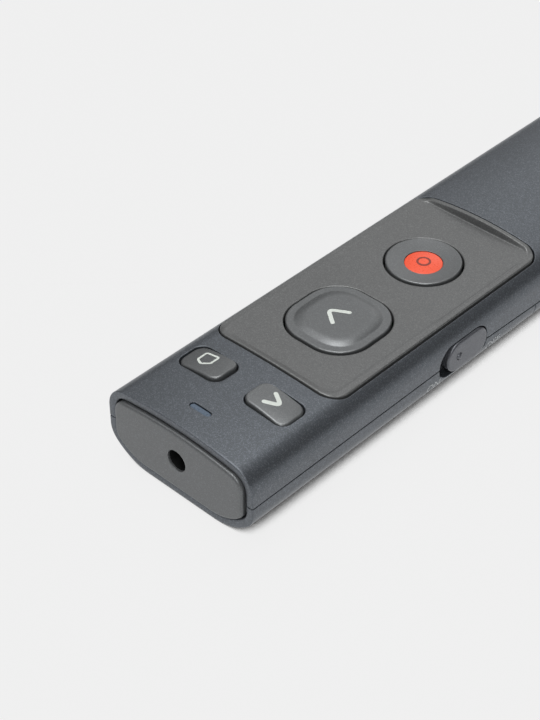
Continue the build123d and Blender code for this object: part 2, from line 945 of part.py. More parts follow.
# Power switch: knob with its flange and fork, the slider's case and its lever
with BuildPart() as power_switch_knob:
    add(stadium(knob_back_x, half_width + knob_proud, knob_length, knob_height, knob_station))
    fillet(power_switch_knob.faces().sort_by(Axis.X)[-1].edges(), knob_round)
    add(
        block(
            knob_back_x - knob_flange_thickness,
            knob_back_x,
            knob_station - flange_half,
            knob_station + flange_half,
            knob_z - flange_half_height,
            knob_z + flange_half_height,
        )
    )
    for side in (-1, 1):
        inner = knob_station + side * (lever_width / 2 + lever_gap)
        near, far = sorted((inner, inner + side * fork_wall))
        fork_low, fork_high = lever_z - lever_height / 2, lever_z + lever_height / 2
        add(block(fork_x - fork_depth, fork_x, near, far, fork_low, fork_high))
    with BuildSketch(Plane.YZ.offset(half_width)):
        with Locations((along(knob_station - knob_pip_offset), knob_z)):
            Circle(knob_pip_radius)
    extrude(amount=knob_proud + knob_pip_height)
save(power_switch_knob, "power_switch_knob")

slider_half = slider_body_length / 2
with BuildPart() as slider_case:
    add(
        block(
            slider_face_x - slider_body_width,
            slider_face_x,
            slot_station - slider_half,
            slot_station + slider_half,
            board_top_z,
            board_top_z + slider_body_height,
        )
    )
    window_half = (lever_width + switch_travel) / 2 + lever_gap
    add(
        block(
            slider_body_x - lever_gap,
            slider_face_x + overrun,
            slot_station - window_half,
            slot_station + window_half,
            lever_z - lever_height / 2 - lever_gap,
            lever_z + lever_height / 2 + lever_gap,
        ),
        mode=Mode.SUBTRACT,
    )
save(slider_case, "slider_case")

with BuildPart() as slider_lever:
    add(
        block(
            slider_body_x,
            slider_face_x + lever_reach,
            knob_station - lever_width / 2,
            knob_station + lever_width / 2,
            lever_z - lever_height / 2,
            lever_z + lever_height / 2,
        )
    )
save(slider_lever, "slider_lever")

# Battery tray: holds the cell and its contacts, guides the door and stores the receiver
with BuildPart() as battery_tray:
    add(casing_form(wall + tray_gap, tray_station, tray_end))
    trough = 2 * trough_radius
    add(rod(trough, cell_axis_z, plus_plate, bay_end), mode=Mode.SUBTRACT)
    add(block(-trough_radius, trough_radius, plus_plate, bay_end, -overrun, cell_axis_z), mode=Mode.SUBTRACT)
    slot = tray_slot_half_width
    add(block(-slot, slot, plus_plate, bay_end, cell_axis_z, above), mode=Mode.SUBTRACT)
    add(block(lead_in, lead_out, tray_station - overrun, bay_end, lead_low, lead_high), mode=Mode.SUBTRACT)
    add(block(0, lead_out, minus_plate - lead_gap, bay_end, lead_low, lead_high), mode=Mode.SUBTRACT)
    tab_low, tab_high = contact_tab_x - contact_tab_width / 2, contact_tab_x + contact_tab_width / 2
    tab_top = board_top_z + contact_thickness + lead_gap
    add(
        block(tab_low - lead_gap, tab_high + lead_gap, tray_station - overrun, bay_end, lead_low, tab_top),
        mode=Mode.SUBTRACT,
    )
    for side in (-1, 1):
        x_low, x_high = sorted((side * (rail_inner_x - rail_gap), side * width))
        add(
            block(
                x_low,
                x_high,
                tray_station - overrun,
                tray_end + overrun,
                rail_z - rail_gap,
                rail_z + rail_height + rail_gap,
            ),
            mode=Mode.SUBTRACT,
        )
        x = side * tray_screw_x
        head_top = tray_screw_z + screw_head_height
        add(upright(screw_hole, x, tray_screw_station, 0, above), mode=Mode.SUBTRACT)
        add(upright(head_hole, x, tray_screw_station, 0, head_top), mode=Mode.SUBTRACT)
        boss_pocket = boss_diameter + 2 * tray_gap
        add(upright(boss_pocket, x, tray_screw_station, tray_boss_z, above), mode=Mode.SUBTRACT)
    plug_half, plug_up = plug_width / 2 + plug_gap, plug_height / 2 + plug_gap
    add(
        block(
            -plug_half,
            plug_half,
            plug_tip - plug_gap,
            housing_face,
            receiver_z - plug_up,
            receiver_z + plug_up,
        ),
        mode=Mode.SUBTRACT,
    )
    receiver_low = receiver_z - receiver_height / 2 - receiver_gap
    add(
        block(-mouth_half, mouth_half, housing_face - receiver_gap, length, receiver_low, above),
        mode=Mode.SUBTRACT,
    )
save(battery_tray, "battery_tray")

# Contacts: plates at both ends of the cell, a tab and a long lead to the board
half = contact_width / 2
contact_low, contact_high = cell_axis_z - contact_height / 2, cell_axis_z + contact_height / 2
with BuildPart() as plus_contact:
    add(block(-half, half, plus_plate, plus_plate + contact_thickness, contact_low, contact_high))
    tab_top = board_top_z + contact_thickness
    add(block(tab_low, tab_high, board_foot, plus_plate, board_top_z, tab_top))
save(plus_contact, "plus_contact")

with BuildPart() as minus_contact:
    add(block(-half, half, minus_plate, bay_end, contact_low, contact_high))
    lead_top = board_top_z + lead_height
    add(block(half, lead_x, minus_plate, bay_end, board_top_z, lead_top))
    add(block(lead_x - lead_thickness, lead_x, board_foot, bay_end, board_top_z, lead_top))
save(minus_contact, "minus_contact")

with BuildPart() as minus_spring:
    coil_length = spring_length - spring_wire
    coil_start = (0, along(cell_end + spring_wire / 2), cell_axis_z)
    with BuildLine() as coil:
        Helix(coil_length / spring_turns, coil_length, spring_radius, coil_start, (0, 1, 0))
    with BuildSketch(Plane(coil.line @ 0, z_dir=coil.line % 0)):
        Circle(spring_wire / 2)
    sweep()
save(minus_spring, "minus_spring")

with BuildPart() as cell_can:
    add(rod(cell_diameter, cell_axis_z, cell_station, cell_end))
    fillet(cell_can.edges().filter_by(GeomType.CIRCLE), spring_wire)
save(cell_can, "cell_can")

with BuildPart() as cell_nub:
    add(rod(cell_nub_diameter, cell_axis_z, cell_station - cell_nub_height, cell_station))
save(cell_nub, "cell_nub")

# Radio receiver: plug sheet, tongue, pins and housing
with BuildPart() as receiver_plug:
    with BuildSketch(Plane.XZ.offset(-along(housing_face))):
        with Locations((0, receiver_z)):
            Rectangle(plug_width, plug_height)
            Rectangle(plug_width - 2 * plug_sheet, plug_height - 2 * plug_sheet, mode=Mode.SUBTRACT)
    extrude(amount=plug_length)
save(receiver_plug, "receiver_plug")

tongue_half = plug_width / 2 - plug_sheet - tongue_gap
tongue_top = receiver_z + plug_height / 2 - plug_sheet - tongue_gap
tongue_base = tongue_top - tongue_height
with BuildPart() as receiver_tongue:
    tongue_tip = housing_face - tongue_length
    add(block(-tongue_half, tongue_half, tongue_tip, housing_face, tongue_base, tongue_top))
save(receiver_tongue, "receiver_tongue")

with BuildPart() as receiver_pins:
    for count in range(4):
        x = (count - 1.5) * pin_pitch
        near = housing_face - tongue_length + pin_width
        pin_low = tongue_base - pin_height
        add(block(x - pin_width / 2, x + pin_width / 2, near, near + pin_length, pin_low, tongue_base))
save(receiver_pins, "receiver_pins")

with BuildPart() as receiver_housing:
    with BuildSketch(Plane.XZ.offset(-along(housing_face + receiver_length))):
        with Locations((0, receiver_z)):
            RectangleRounded(receiver_width, receiver_height, receiver_corner)
    extrude(amount=receiver_length)
    fillet(receiver_housing.faces().sort_by(Axis.Y)[-1].edges(), receiver_corner / 2)
save(receiver_housing, "receiver_housing")
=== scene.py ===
import json
import math
import bmesh
import bpy
import numpy as np
from mathutils import Matrix, Vector
from mathutils.geometry import delaunay_2d_cdt


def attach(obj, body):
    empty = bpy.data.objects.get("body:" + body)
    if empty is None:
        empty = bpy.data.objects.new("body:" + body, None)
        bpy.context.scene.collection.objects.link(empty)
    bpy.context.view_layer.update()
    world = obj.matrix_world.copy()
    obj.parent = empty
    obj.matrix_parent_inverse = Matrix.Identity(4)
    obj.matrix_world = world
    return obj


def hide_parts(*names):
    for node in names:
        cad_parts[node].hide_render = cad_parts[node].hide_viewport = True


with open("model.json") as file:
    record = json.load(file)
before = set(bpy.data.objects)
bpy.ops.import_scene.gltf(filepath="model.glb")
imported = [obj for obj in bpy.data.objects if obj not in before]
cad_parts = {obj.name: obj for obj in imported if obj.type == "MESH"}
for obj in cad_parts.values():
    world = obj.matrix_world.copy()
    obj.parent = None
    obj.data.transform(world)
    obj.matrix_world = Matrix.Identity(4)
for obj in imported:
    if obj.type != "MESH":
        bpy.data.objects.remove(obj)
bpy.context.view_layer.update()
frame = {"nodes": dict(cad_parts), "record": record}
print("frame loaded")

# All shapes below are worked out in millimetres. x runs across the clicker, y along it from the front,
# z is up. A station is a distance from the front rim, so y = station - half the length.

beside = 0.07  # from a rounded edge to the extra ring of points that keeps the surface next to it flat
tiny = 1e-6

casing = {
    "length": 134.73, "sideX": 13.5, "baseHalf": 6.2, "lowRadius": 3.4, "lowZ": 5.0,
    "shoulderRadius": 3.8, "shoulderZ": 8.35,
    "crownStations": (-10.0, 0.0, 17.75, 63.9, 87.9, 134.73, 144.73),
    "crownHeights": (13.182, 12.9, 12.4, 13.0, 13.6, 13.3, 13.236),
    "crownBlend": 3.0,  # how softly the crown line turns at its stations
    "seamStations": (38.0, 60.85), "seamHeights": (6.65, 5.8), "seamBlend": 1.5,
    "seamGap": 0.12, "seamRound": 0.1,
    "frontRound": 0.16, "rimRound": 0.5, "rimFlat": 0.08, "recessInset": 1.36, "recessDepth": 1.35,
    "rearRound": 1.2, "splitRound": 0.14, "upperWall": 1.4, "doorWall": 1.2,
    "bulkhead": 60.85, "doorStart": 60.99, "cavityEnd": 133.13,
    "step": 0.6,  # spacing of the points on the outer surface
}
length = casing["length"]
half = length / 2
lowX = casing["sideX"] - casing["lowRadius"]
shoulderX = casing["sideX"] - casing["shoulderRadius"]
bilgeReach = lowX - casing["baseHalf"]
bilgeRadius = (bilgeReach**2 + casing["lowZ"] ** 2 - casing["lowRadius"] ** 2) / (
    2 * (casing["lowZ"] - casing["lowRadius"])
)
lowLean = math.atan2(bilgeRadius - casing["lowZ"], bilgeReach)
runs = np.array([10.4, 5.3, 2.95, 2.8, 8.15, 5.0])  # crown, shoulder, side, low arc, bilge, base
starts = np.concatenate([[0.0], np.cumsum(runs)])
halfRun = starts[-1]


def blended(s, stations, heights, reach, count):
    # straight lines between the stations, averaged over reach to either side
    shifts = np.linspace(-reach, reach, count)
    return np.mean([np.interp(s + d, stations, heights) for d in shifts], axis=0)


def seamZ(s):
    # level at first, then straight down to the rear height, with soft bends
    return blended(s, casing["seamStations"], casing["seamHeights"], casing["seamBlend"], 7)


def crownArc(s):
    # radius of the arc that passes the crown and touches both shoulder circles, and its angle there
    top = blended(s, casing["crownStations"], casing["crownHeights"], casing["crownBlend"], 9)
    rise = top - casing["shoulderZ"]
    r = casing["shoulderRadius"]
    radius = (shoulderX**2 + rise**2 - r**2) / (2 * (rise - r))
    return top, radius, np.arcsin(shoulderX / (radius - r))


def sectionPoint(s, t, inset=0.0):
    # half outline from the crown's middle to the base's middle: crown arc, shoulder arc, upright side,
    # low arc, bilge arc and flat base, each in proportion to its share of |t|, moved inwards by inset
    s, t, inset = np.broadcast_arrays(s, t, inset)
    run = np.abs(t)
    share = [np.clip((run - a) / b, 0, 1) for a, b in zip(starts, runs)]
    top, radius, lean = crownArc(s)
    bow = share[0] * lean
    turn = lean + share[1] * (math.pi / 2 - lean)
    low = share[3] * lowLean
    bilge = lowLean + share[4] * (math.pi / 2 - lowLean)
    shoulderR = casing["shoulderRadius"] - inset
    lowR = casing["lowRadius"] - inset
    xs = [
        (radius - inset) * np.sin(bow),
        shoulderX + shoulderR * np.sin(turn),
        casing["sideX"] - inset,
        lowX + lowR * np.cos(low),
        casing["baseHalf"] + (bilgeRadius - inset) * np.cos(bilge),
        casing["baseHalf"] * (1 - share[5]),
    ]
    zs = [
        top - radius + (radius - inset) * np.cos(bow),
        casing["shoulderZ"] + shoulderR * np.cos(turn),
        casing["shoulderZ"] - share[2] * (casing["shoulderZ"] - casing["lowZ"]),
        casing["lowZ"] - lowR * np.sin(low),
        bilgeRadius - (bilgeRadius - inset) * np.sin(bilge),
        inset + 0 * run,
    ]
    part = [run <= edge for edge in starts[1:-1]] + [run > starts[-2]]
    return np.sign(t) * np.select(part, xs), np.select(part, zs)


def onShoulder(turn, lean):
    return starts[1] + (turn - lean) / (math.pi / 2 - lean) * runs[1]


def runAtX(s, x, inset=0.0):
    # the outline's run t above a place x across the top
    top, radius, lean = crownArc(s)
    reach = np.abs(x)
    bow = np.arcsin(np.clip(reach / (radius - inset), 0, 1))
    turn = np.arcsin(np.clip((reach - shoulderX) / (casing["shoulderRadius"] - inset), 0, 1))
    return np.sign(x) * np.where(bow <= lean, bow / lean * runs[0], onShoulder(turn, lean))


def runAtZ(s, z, inset=0.0):
    # the outline's run t at a height z on the side
    lean = crownArc(s)[2]
    turn = np.arccos(np.clip((z - casing["shoulderZ"]) / (casing["shoulderRadius"] - inset), 0, 1))
    low = np.arcsin(np.clip((casing["lowZ"] - z) / (casing["lowRadius"] - inset), 0, 1))
    onSide = starts[2] + (casing["shoulderZ"] - z)
    below = np.where(z < casing["lowZ"], starts[3] + low / lowLean * runs[3], onSide)
    return np.where(z > casing["shoulderZ"], onShoulder(turn, lean), below)


def topZ(s, x):
    # height of the casing's top surface at a place in plan
    return sectionPoint(s, runAtX(s, x))[1]


def alongProfile(knots, body):
    # a path of (station, inset) pairs over its length p, counted so that p is the station on the body
    knots = np.array(knots)
    p = np.concatenate([[0.0], np.cumsum(np.hypot(*np.diff(knots, axis=0).T))])
    p += knots[body, 0] - p[body]
    return {"p": p, "s": knots[:, 0], "d": knots[:, 1]}


def casingPoint(profile, base, p, w, depth=0.0):
    # point at profile length p and at run w from the crown's middle, or the base's, sunk by depth
    def at(q):
        return np.interp(q, profile["p"], profile["s"]), np.interp(q, profile["p"], profile["d"])

    p, w = np.broadcast_arrays(p, w)
    s, d = at(p)
    if np.any(depth):
        (s1, d1), (s0, d0) = at(p + 0.01), at(p - 0.01)
        ds, dd = s1 - s0, d1 - d0
        size = np.hypot(ds, dd) + 1e-12
        s = s - depth * dd / size
        d = d + depth * ds / size
    t = np.where(w < 0, -1.0, 1.0) * (halfRun - np.abs(w)) if base else w
    x, z = sectionPoint(s, t, d)
    return np.stack([x, s - half, z], -1)


def softStep(value):
    value = np.clip(value, 0, 1)
    return value * value * (3 - 2 * value)


def roundSteps(radius, count=7):
    # (inset, drop) pairs round an edge, from the upright wall to the top
    turns = np.linspace(0, math.pi / 2, count)
    return [(radius * (1 - math.cos(q)), radius * (1 - math.sin(q))) for q in turns]


# Flat outlines, as closed or open rows of points


def roundedBox(width, length, corner, grow=0.0, spacing=0.35, middle=(0.0, 0.0)):
    # rectangle with round corners, grown by grow all round
    a, b, r = width / 2 + grow, length / 2 + grow, max(corner + grow, 0.02)
    turn = np.linspace(0, math.pi / 2, max(3, int(r * math.pi / 2 / spacing) + 2))
    arc = np.stack([r * np.cos(turn), r * np.sin(turn)], -1)
    corners = []
    for count, (sx, sy) in enumerate(((1, 1), (-1, 1), (-1, -1), (1, -1))):
        q = count * math.pi / 2
        rotate = np.array([[math.cos(q), math.sin(q)], [-math.sin(q), math.cos(q)]])
        corners.append(arc @ rotate + (sx * (a - r), sy * (b - r)))
    return fillGaps(np.concatenate(corners), spacing) + middle


def fillGaps(points, spacing):
    # adds points on runs of a closed line that are longer than the spacing
    rows = []
    for a, b in zip(points, np.roll(points, -1, axis=0)):
        count = max(1, int(round(np.hypot(*(b - a)) / spacing)))
        rows.append(a + (b - a) * (np.arange(count) / count)[:, None])
    points = np.concatenate(rows)
    return points[np.hypot(*(points - np.roll(points, 1, axis=0)).T) > tiny]


def circle(radius, count=72, middle=(0.0, 0.0)):
    q = np.linspace(0, 2 * math.pi, count, endpoint=False)
    return radius * np.stack([np.cos(q), np.sin(q)], -1) + middle


def outlineOf(row, gap=0.0, side=1):
    # a row's rounded box in plan, widened by a gap all round, as a function of how far it is grown
    return lambda grow: roundedBox(
        row["width"] + 2 * gap, row["length"] + 2 * gap, row["corner"] + gap, grow, row["spacing"],
        (side * row["x"], row["station"]),
    )


def normals(step):
    step = step / np.hypot(*step.T)[:, None]
    return np.stack([step[:, 1], -step[:, 0]], -1)


def mitred(points, before, after, distance):
    # each point moved by distance from both of the lines that meet at it
    return points + distance * (before + after) / (1 + np.sum(before * after, axis=1, keepdims=True))


def sideways(path, distance):
    # an open path moved to its left
    normal = normals(np.diff(path, axis=0))
    return mitred(path, np.concatenate([normal[:1], normal]), np.concatenate([normal, normal[-1:]]), distance)


def matched(outline, grow):
    # an outline grown by grow with as many points as the outline itself
    base = outline(0.0)
    ahead, behind = np.roll(base, -1, axis=0) - base, base - np.roll(base, 1, axis=0)
    return mitred(base, normals(ahead), normals(behind), grow)


# Surfaces


def insideOf(points, loops):
    # even-odd rule against all the loops
    inside = np.zeros(len(points), bool)
    for loop in loops:
        a, b = loop, np.roll(loop, -1, axis=0)
        rise = np.where(a[:, 1] == b[:, 1], 1.0, b[:, 1] - a[:, 1])
        for start in range(0, len(points), 4000):
            x, y = points[start : start + 4000, :1], points[start : start + 4000, 1:]
            crosses = (a[:, 1] > y) != (b[:, 1] > y)
            at = a[:, 0] + (y - a[:, 1]) * (b[:, 0] - a[:, 0]) / rise
            inside[start : start + 4000] ^= (np.sum(crosses & (x < at), axis=1) % 2).astype(bool)
    return inside


def distanceTo(points, loop):
    # shortest distance from each point to a closed loop
    ab = np.roll(loop, -1, axis=0) - loop
    size = np.sum(ab**2, axis=1) + 1e-12
    best = np.empty(len(points))
    for start in range(0, len(points), 2000):
        gap = points[start : start + 2000, None, :] - loop
        share = np.clip(np.sum(gap * ab, axis=2) / size, 0, 1)[:, :, None]
        best[start : start + 2000] = np.min(np.sum((gap - share * ab) ** 2, axis=2), axis=1)
    return np.sqrt(best)


def trimmedSheet(loops, place, step=None, rows=None):
    # grid of points over the first loop, without the other loops' insides, joined by a Delaunay mesh;
    # without a step only the loops' own points are joined
    points = np.concatenate(loops)
    if step:
        low, high = loops[0].min(axis=0), loops[0].max(axis=0)
        if rows is None:
            rows = np.arange(low[0] + step / 2, high[0], step)
        columns = np.arange(low[1] - step, high[1] + step, step)
        u, v = np.meshgrid(rows, columns, indexing="ij")
        v = v + (np.arange(len(rows)) % 2)[:, None] * step / 2
        room = (np.minimum(np.gradient(rows), step)[:, None] + 0 * v).ravel()
        grid = np.stack([u.ravel(), v.ravel()], -1)
        keep = insideOf(grid, loops)
        grid, room = grid[keep], room[keep]
        for loop in loops:
            near = np.all((grid > loop.min(axis=0) - 1) & (grid < loop.max(axis=0) + 1), axis=1)
            apart = np.ones(len(grid), bool)
            apart[near] = distanceTo(grid[near], loop) > 0.45 * room[near]
            grid, room = grid[apart], room[apart]
        points = np.concatenate([points, grid])
    edges, first = [], 0
    for loop in loops:
        index = first + np.arange(len(loop))
        edges.append(np.stack([index, np.roll(index, -1)], -1))
        first += len(loop)
    result = delaunay_2d_cdt(points.tolist(), np.concatenate(edges).tolist(), [], 0, 1e-7, False)
    flat = np.array([tuple(v) for v in result[0]])
    faces = np.array(result[2])
    return place(flat), faces[insideOf(flat[faces].mean(axis=1), loops)]


def strip(rows, closed=True):
    # quads between rows of points of equal number
    rows = np.array(rows)
    m, n = rows.shape[:2]
    i = np.arange(m - 1)[:, None]
    j = np.arange(n if closed else n - 1)[None, :]
    k = (j + 1) % n
    faces = np.stack([i * n + j, i * n + k, (i + 1) * n + k, (i + 1) * n + j], -1)
    return rows.reshape(-1, 3), faces.reshape(-1, 4)


def bent(a, b, c, count=4):
    # rounded edge: quadratic curve from row a towards corner row b, arriving at row c
    return [(1 - u) ** 2 * a + 2 * u * (1 - u) * b + u**2 * c for u in np.linspace(0, 1, count + 1)]


def upright(points, z):
    return np.stack([points[:, 0], points[:, 1] - half, np.broadcast_to(z, len(points))], -1)


def over(surface, lift=0.0):
    # places points in plan on a surface z(x, s)
    return lambda q: upright(q, surface(q[:, 0], q[:, 1]) + lift)


def level(z):
    return lambda q: upright(q, z)


def planar(points, y):
    return np.stack([points[:, 0], np.full(len(points), y), points[:, 1]], -1)


def facing(y):
    return lambda q: planar(q, y)


def makePiece(name, patches, finish, body, slotName, *nodes, sharp=48):
    # joins patches of (points, faces) into one mesh, hangs it on its body and hides the nodes that it stands
    # for
    points, faces, first = [], [], 0
    for patchPoints, patchFaces in patches:
        points.append(patchPoints)
        faces += (patchFaces + first).tolist()
        first += len(patchPoints)
    mesh = bpy.data.meshes.new(name)
    mesh.from_pydata((np.concatenate(points) * 0.001).tolist(), [], faces)
    work = bmesh.new()
    work.from_mesh(mesh)
    bmesh.ops.remove_doubles(work, verts=work.verts, dist=3e-6)
    bmesh.ops.dissolve_degenerate(work, edges=work.edges, dist=1e-7)
    bmesh.ops.delete(work, geom=[v for v in work.verts if not v.link_faces], context="VERTS")
    bmesh.ops.recalc_face_normals(work, faces=work.faces)
    openEdges = sum(1 for e in work.edges if len(e.link_faces) != 2)
    work.to_mesh(mesh)
    work.free()
    mesh.shade_smooth()
    mesh.set_sharp_from_angle(angle=math.radians(sharp))
    mesh.materials.append(finishes[finish])
    piece = bpy.data.objects.new(name, mesh)
    bpy.context.scene.collection.objects.link(piece)
    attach(piece, body)
    if nodes:
        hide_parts(*nodes)
    print(name, len(mesh.polygons), "faces,", openEdges, "open edges")
    return piece


class Wire:
    # a socket of a node, on which + and * add Math nodes
    def __init__(self, finish, socket):
        self.finish = finish
        self.socket = socket

    def __add__(self, other):
        return self.finish.node("ShaderNodeMath", {"operation": "ADD"}, self, other)

    def __mul__(self, other):
        return self.finish.node("ShaderNodeMath", {"operation": "MULTIPLY"}, self, other)


class Finish:
    # the nodes of a new material or world, made by node(type, settings, values or links of its sockets)
    def __init__(self, owner, coordinates="Object"):
        self.owner = owner
        owner.use_nodes = True
        self.tree = owner.node_tree
        self.tree.nodes.clear()
        self.coordinates = self.node("ShaderNodeTexCoord", {}, output=coordinates)

    def node(self, kind, settings, *values, output=0, sockets={}, **named):
        made = self.tree.nodes.new(kind)
        for key, value in settings.items():
            setattr(made, key, value)
        given = dict(enumerate(values)) | sockets | {key.replace("_", " "): v for key, v in named.items()}
        for key, value in given.items():
            if isinstance(value, Wire):
                self.tree.links.new(value.socket, made.inputs[key])
            else:
                made.inputs[key].default_value = value
        return Wire(self, made.outputs[output]) if len(made.outputs) else None

    def noise(self, scale, detail):
        # scale is in waves per millimetre
        return self.node(
            "ShaderNodeTexNoise", {}, Vector=self.coordinates, Scale=scale * 1000, Detail=detail,
            Roughness=0.5,
        )

    def span(self, source, low, high, newLow, newHigh):
        # maps a range of values to another, clamped
        return self.node("ShaderNodeMapRange", {}, source, low, high, newLow, newHigh)

    def mixed(self, share, first, second):
        # sockets 0, 6 and 7 of the node are its factor and its two colours, output 2 is the mixed colour
        return self.node(
            "ShaderNodeMix", {"data_type": "RGBA"}, output=2, sockets={0: share, 6: first, 7: second}
        )

    def bump(self, height, strength, distance):
        # distance is in millimetres
        return self.node("ShaderNodeBump", {}, Strength=strength, Distance=distance * 0.001, Height=height)

    def shade(self, **named):
        self.node("ShaderNodeOutputMaterial", {}, self.node("ShaderNodeBsdfPrincipled", {}, **named))
        return self.owner


def rgb(red, green, blue):
    # a colour given in 0 to 255 display values, as linear values
    parts = [((v / 255 + 0.055) / 1.055) ** 2.4 if v > 10.3 else v / 255 / 12.92 for v in (red, green, blue)]
    return (*parts, 1.0)


def paintedPlastic(name, dark, light, flake, flakeShare, metal, rough):
    # moulded plastic under a fine metallic paint: cloudy base, small bright flakes and a satin grain
    finish = Finish(bpy.data.materials.new(name))
    fine = finish.noise(7.0, 2.0)
    tone = finish.span(finish.noise(0.06, 3.0) * 0.3 + fine * 0.7, 0.36, 0.64, 0.0, 1.0)
    grains = finish.node("ShaderNodeTexVoronoi", {}, output="Color", Vector=finish.coordinates, Scale=9100.0)
    speck = finish.node("ShaderNodeSeparateColor", {}, grains)
    spark = finish.span(speck, 1.0 - flakeShare, 1.0, 0.0, 1.0)
    return finish.shade(
        Base_Color=finish.mixed(spark, finish.mixed(tone, rgb(*dark), rgb(*light)), rgb(*flake)),
        Roughness=finish.span(fine, 0.3, 0.7, rough - 0.03, rough + 0.03),
        Metallic=metal,
        Normal=finish.bump(finish.noise(8.4, 1.0), 0.3, 0.012),
    )


def plainPlastic(name, dark, light, rough, scale=4.0, specular=0.5):
    # moulded plastic: slight colour variation, an even grain in roughness and surface
    finish = Finish(bpy.data.materials.new(name))
    fine = finish.noise(scale, 2.0)
    tone = finish.span(finish.noise(0.12, 3.0) * 0.6 + fine * 0.4, 0.38, 0.62, 0.0, 1.0)
    return finish.shade(
        Base_Color=finish.mixed(tone, rgb(*dark), rgb(*light)),
        Roughness=finish.span(fine, 0.3, 0.7, rough - 0.04, rough + 0.04),
        Specular_IOR_Level=specular,
        Normal=finish.bump(finish.noise(scale * 1.8, 1.0), 0.3, 0.015),
    )


def bareMetal(name, dark, light, rough):
    # bare or plated metal with faint handling marks
    finish = Finish(bpy.data.materials.new(name))
    tone = finish.span(finish.noise(0.6, 3.0), 0.35, 0.65, 0.0, 1.0)
    return finish.shade(
        Base_Color=finish.mixed(tone, rgb(*dark), rgb(*light)),
        Roughness=finish.span(finish.noise(3.6, 2.0), 0.3, 0.7, rough - 0.06, rough + 0.08),
        Metallic=1.0,
        Normal=finish.bump(finish.noise(3.0, 2.0), 0.15, 0.01),
    )


# darker and lighter tone, flakes, share of flakes, metallic part and roughness
painted = {
    "casing_plastic": ((84, 88, 92), (94, 98, 103), (116, 121, 128), 0.35, 0.7, 0.4),
    "cap_plastic": ((94, 96, 97), (102, 104, 105), (116, 118, 120), 0.3, 0.5, 0.4),
    "panel_plastic": ((96, 97, 97), (105, 106, 106), (119, 120, 120), 0.35, 0.55, 0.38),
    "key_plastic": ((101, 103, 104), (109, 111, 112), (119, 121, 122), 0.3, 0.6, 0.34),
    "knob_plastic": ((90, 92, 97), (98, 100, 105), (110, 112, 117), 0.3, 0.6, 0.34),
}
# darker and lighter tone, roughness, and where they differ the grain's waves per millimetre and the shine
plain = {
    "dot_plastic": ((224, 76, 44), (234, 86, 54), 0.3),
    "window_plastic": ((70, 83, 98), (80, 94, 110), 0.3),
    "mark_paint": ((198, 203, 197), (214, 219, 213), 0.5),
    "word_paint": ((170, 174, 176), (182, 186, 188), 0.5),
    "ring_paint": ((112, 44, 36), (128, 52, 42), 0.5),
    # near-black with almost no shine: painted shade for the sleeve in the cap's bore
    "lining_plastic": ((10, 11, 11), (16, 17, 17), 0.6, 4.0, 0.08),
    "board_laminate": ((24, 84, 52), (32, 104, 64), 0.35, 2.0),
    "switch_plastic": ((40, 40, 42), (52, 52, 54), 0.5),
    "plunger_plastic": ((180, 178, 172), (196, 194, 188), 0.45),
    "lamp_plastic": ((220, 226, 232), (238, 242, 246), 0.2),
    "chip_plastic": ((28, 28, 30), (38, 38, 40), 0.55),
    "ceramic": ((176, 150, 112), (196, 170, 132), 0.6),
    "lens_glass": ((30, 36, 60), (44, 52, 84), 0.08),
    "tray_plastic": ((46, 47, 50), (56, 57, 60), 0.5),
    "cell_wrap": ((52, 60, 76), (66, 76, 94), 0.3, 1.0),
    "receiver_plastic": ((60, 61, 64), (70, 71, 74), 0.48),
    "tongue_plastic": ((28, 28, 30), (36, 36, 38), 0.5),
}
metals = {
    "screw_steel": ((150, 152, 156), (190, 192, 196), 0.3),
    "can_metal": ((176, 178, 180), (208, 210, 212), 0.28),
    "barrel_brass": ((186, 152, 84), (214, 180, 108), 0.3),
    "contact_metal": ((186, 184, 176), (214, 212, 204), 0.25),
    "plug_steel": ((178, 180, 184), (206, 208, 212), 0.24),
    "pin_gold": ((214, 170, 88), (236, 196, 112), 0.22),
}
finishes = {}
for make, table in ((paintedPlastic, painted), (plainPlastic, plain), (bareMetal, metals)):
    for name, row in table.items():
        finishes[name] = make(name, *row)
slotOf = {row["node"]: row["material_slot"] for row in frame["record"]["subparts"]}
for node, carried in frame["nodes"].items():
    carried.data.materials.clear()
    carried.data.materials.append(finishes[slotOf[node]])
print("finishes ready")

# What is cut through the casing. spacing is the distance between an outline's points
panel = {
    "x": 0.0, "station": 40.825, "width": 23.0, "length": 46.15, "corner": 2.9, "spacing": 0.45,
    "floorZ": 11.95, "baseZ": 10.75, "gap": 0.18, "frontBand": 1.3, "rearBand": 1.18, "rearStep": 0.5,
    "edgeRound": 0.2, "lip": 0.1, "proud": 0.1, "rearReach": 0.1, "play": 0.12, "sideProud": 0.14,
}
smallKey = {
    "x": 6.14, "station": 11.94, "width": 7.6, "length": 5.0, "corner": 1.5, "spacing": 0.2, "topZ": 12.8,
    "baseZ": 10.37, "dome": 0.3, "lean": 0.085, "edgeRound": 0.3, "gap": 0.2, "lip": 0.16,
}
window = {
    "x": 0.0, "station": 4.28, "width": 3.74, "length": 1.04, "corner": 0.52, "spacing": 0.12,
    "sink": 0.16, "baseZ": 10.6, "edgeRound": 0.08, "gap": 0.1, "lip": 0.06,
}
slot = {"station": 43.53, "z": 6.62, "length": 10.9, "height": 5.4}


def slotRun(sign, lowered):
    # the switch slot's outline above (sign 1) or below (sign -1) the seam, from front to rear
    radius = slot["height"] / 2
    reach = slot["length"] / 2 - radius
    ends = []
    for side in (-1, 1):
        z = seamZ(slot["station"] + side * (reach + radius)) - lowered
        turn = np.linspace(math.asin(sign * (z - slot["z"]) / radius), math.pi / 2, 12)
        turn = np.concatenate([turn[:1], turn[2:]])
        x = slot["station"] + side * (reach + radius * np.cos(turn))
        ends.append(np.stack([x, slot["z"] + sign * radius * np.sin(turn)], -1))
    straight = np.linspace(-reach, reach, 12)[1:-1]
    middle = np.stack([slot["station"] + straight, np.full(10, slot["z"] + sign * radius)], -1)
    return np.concatenate([ends[0], middle, ends[1][::-1]])


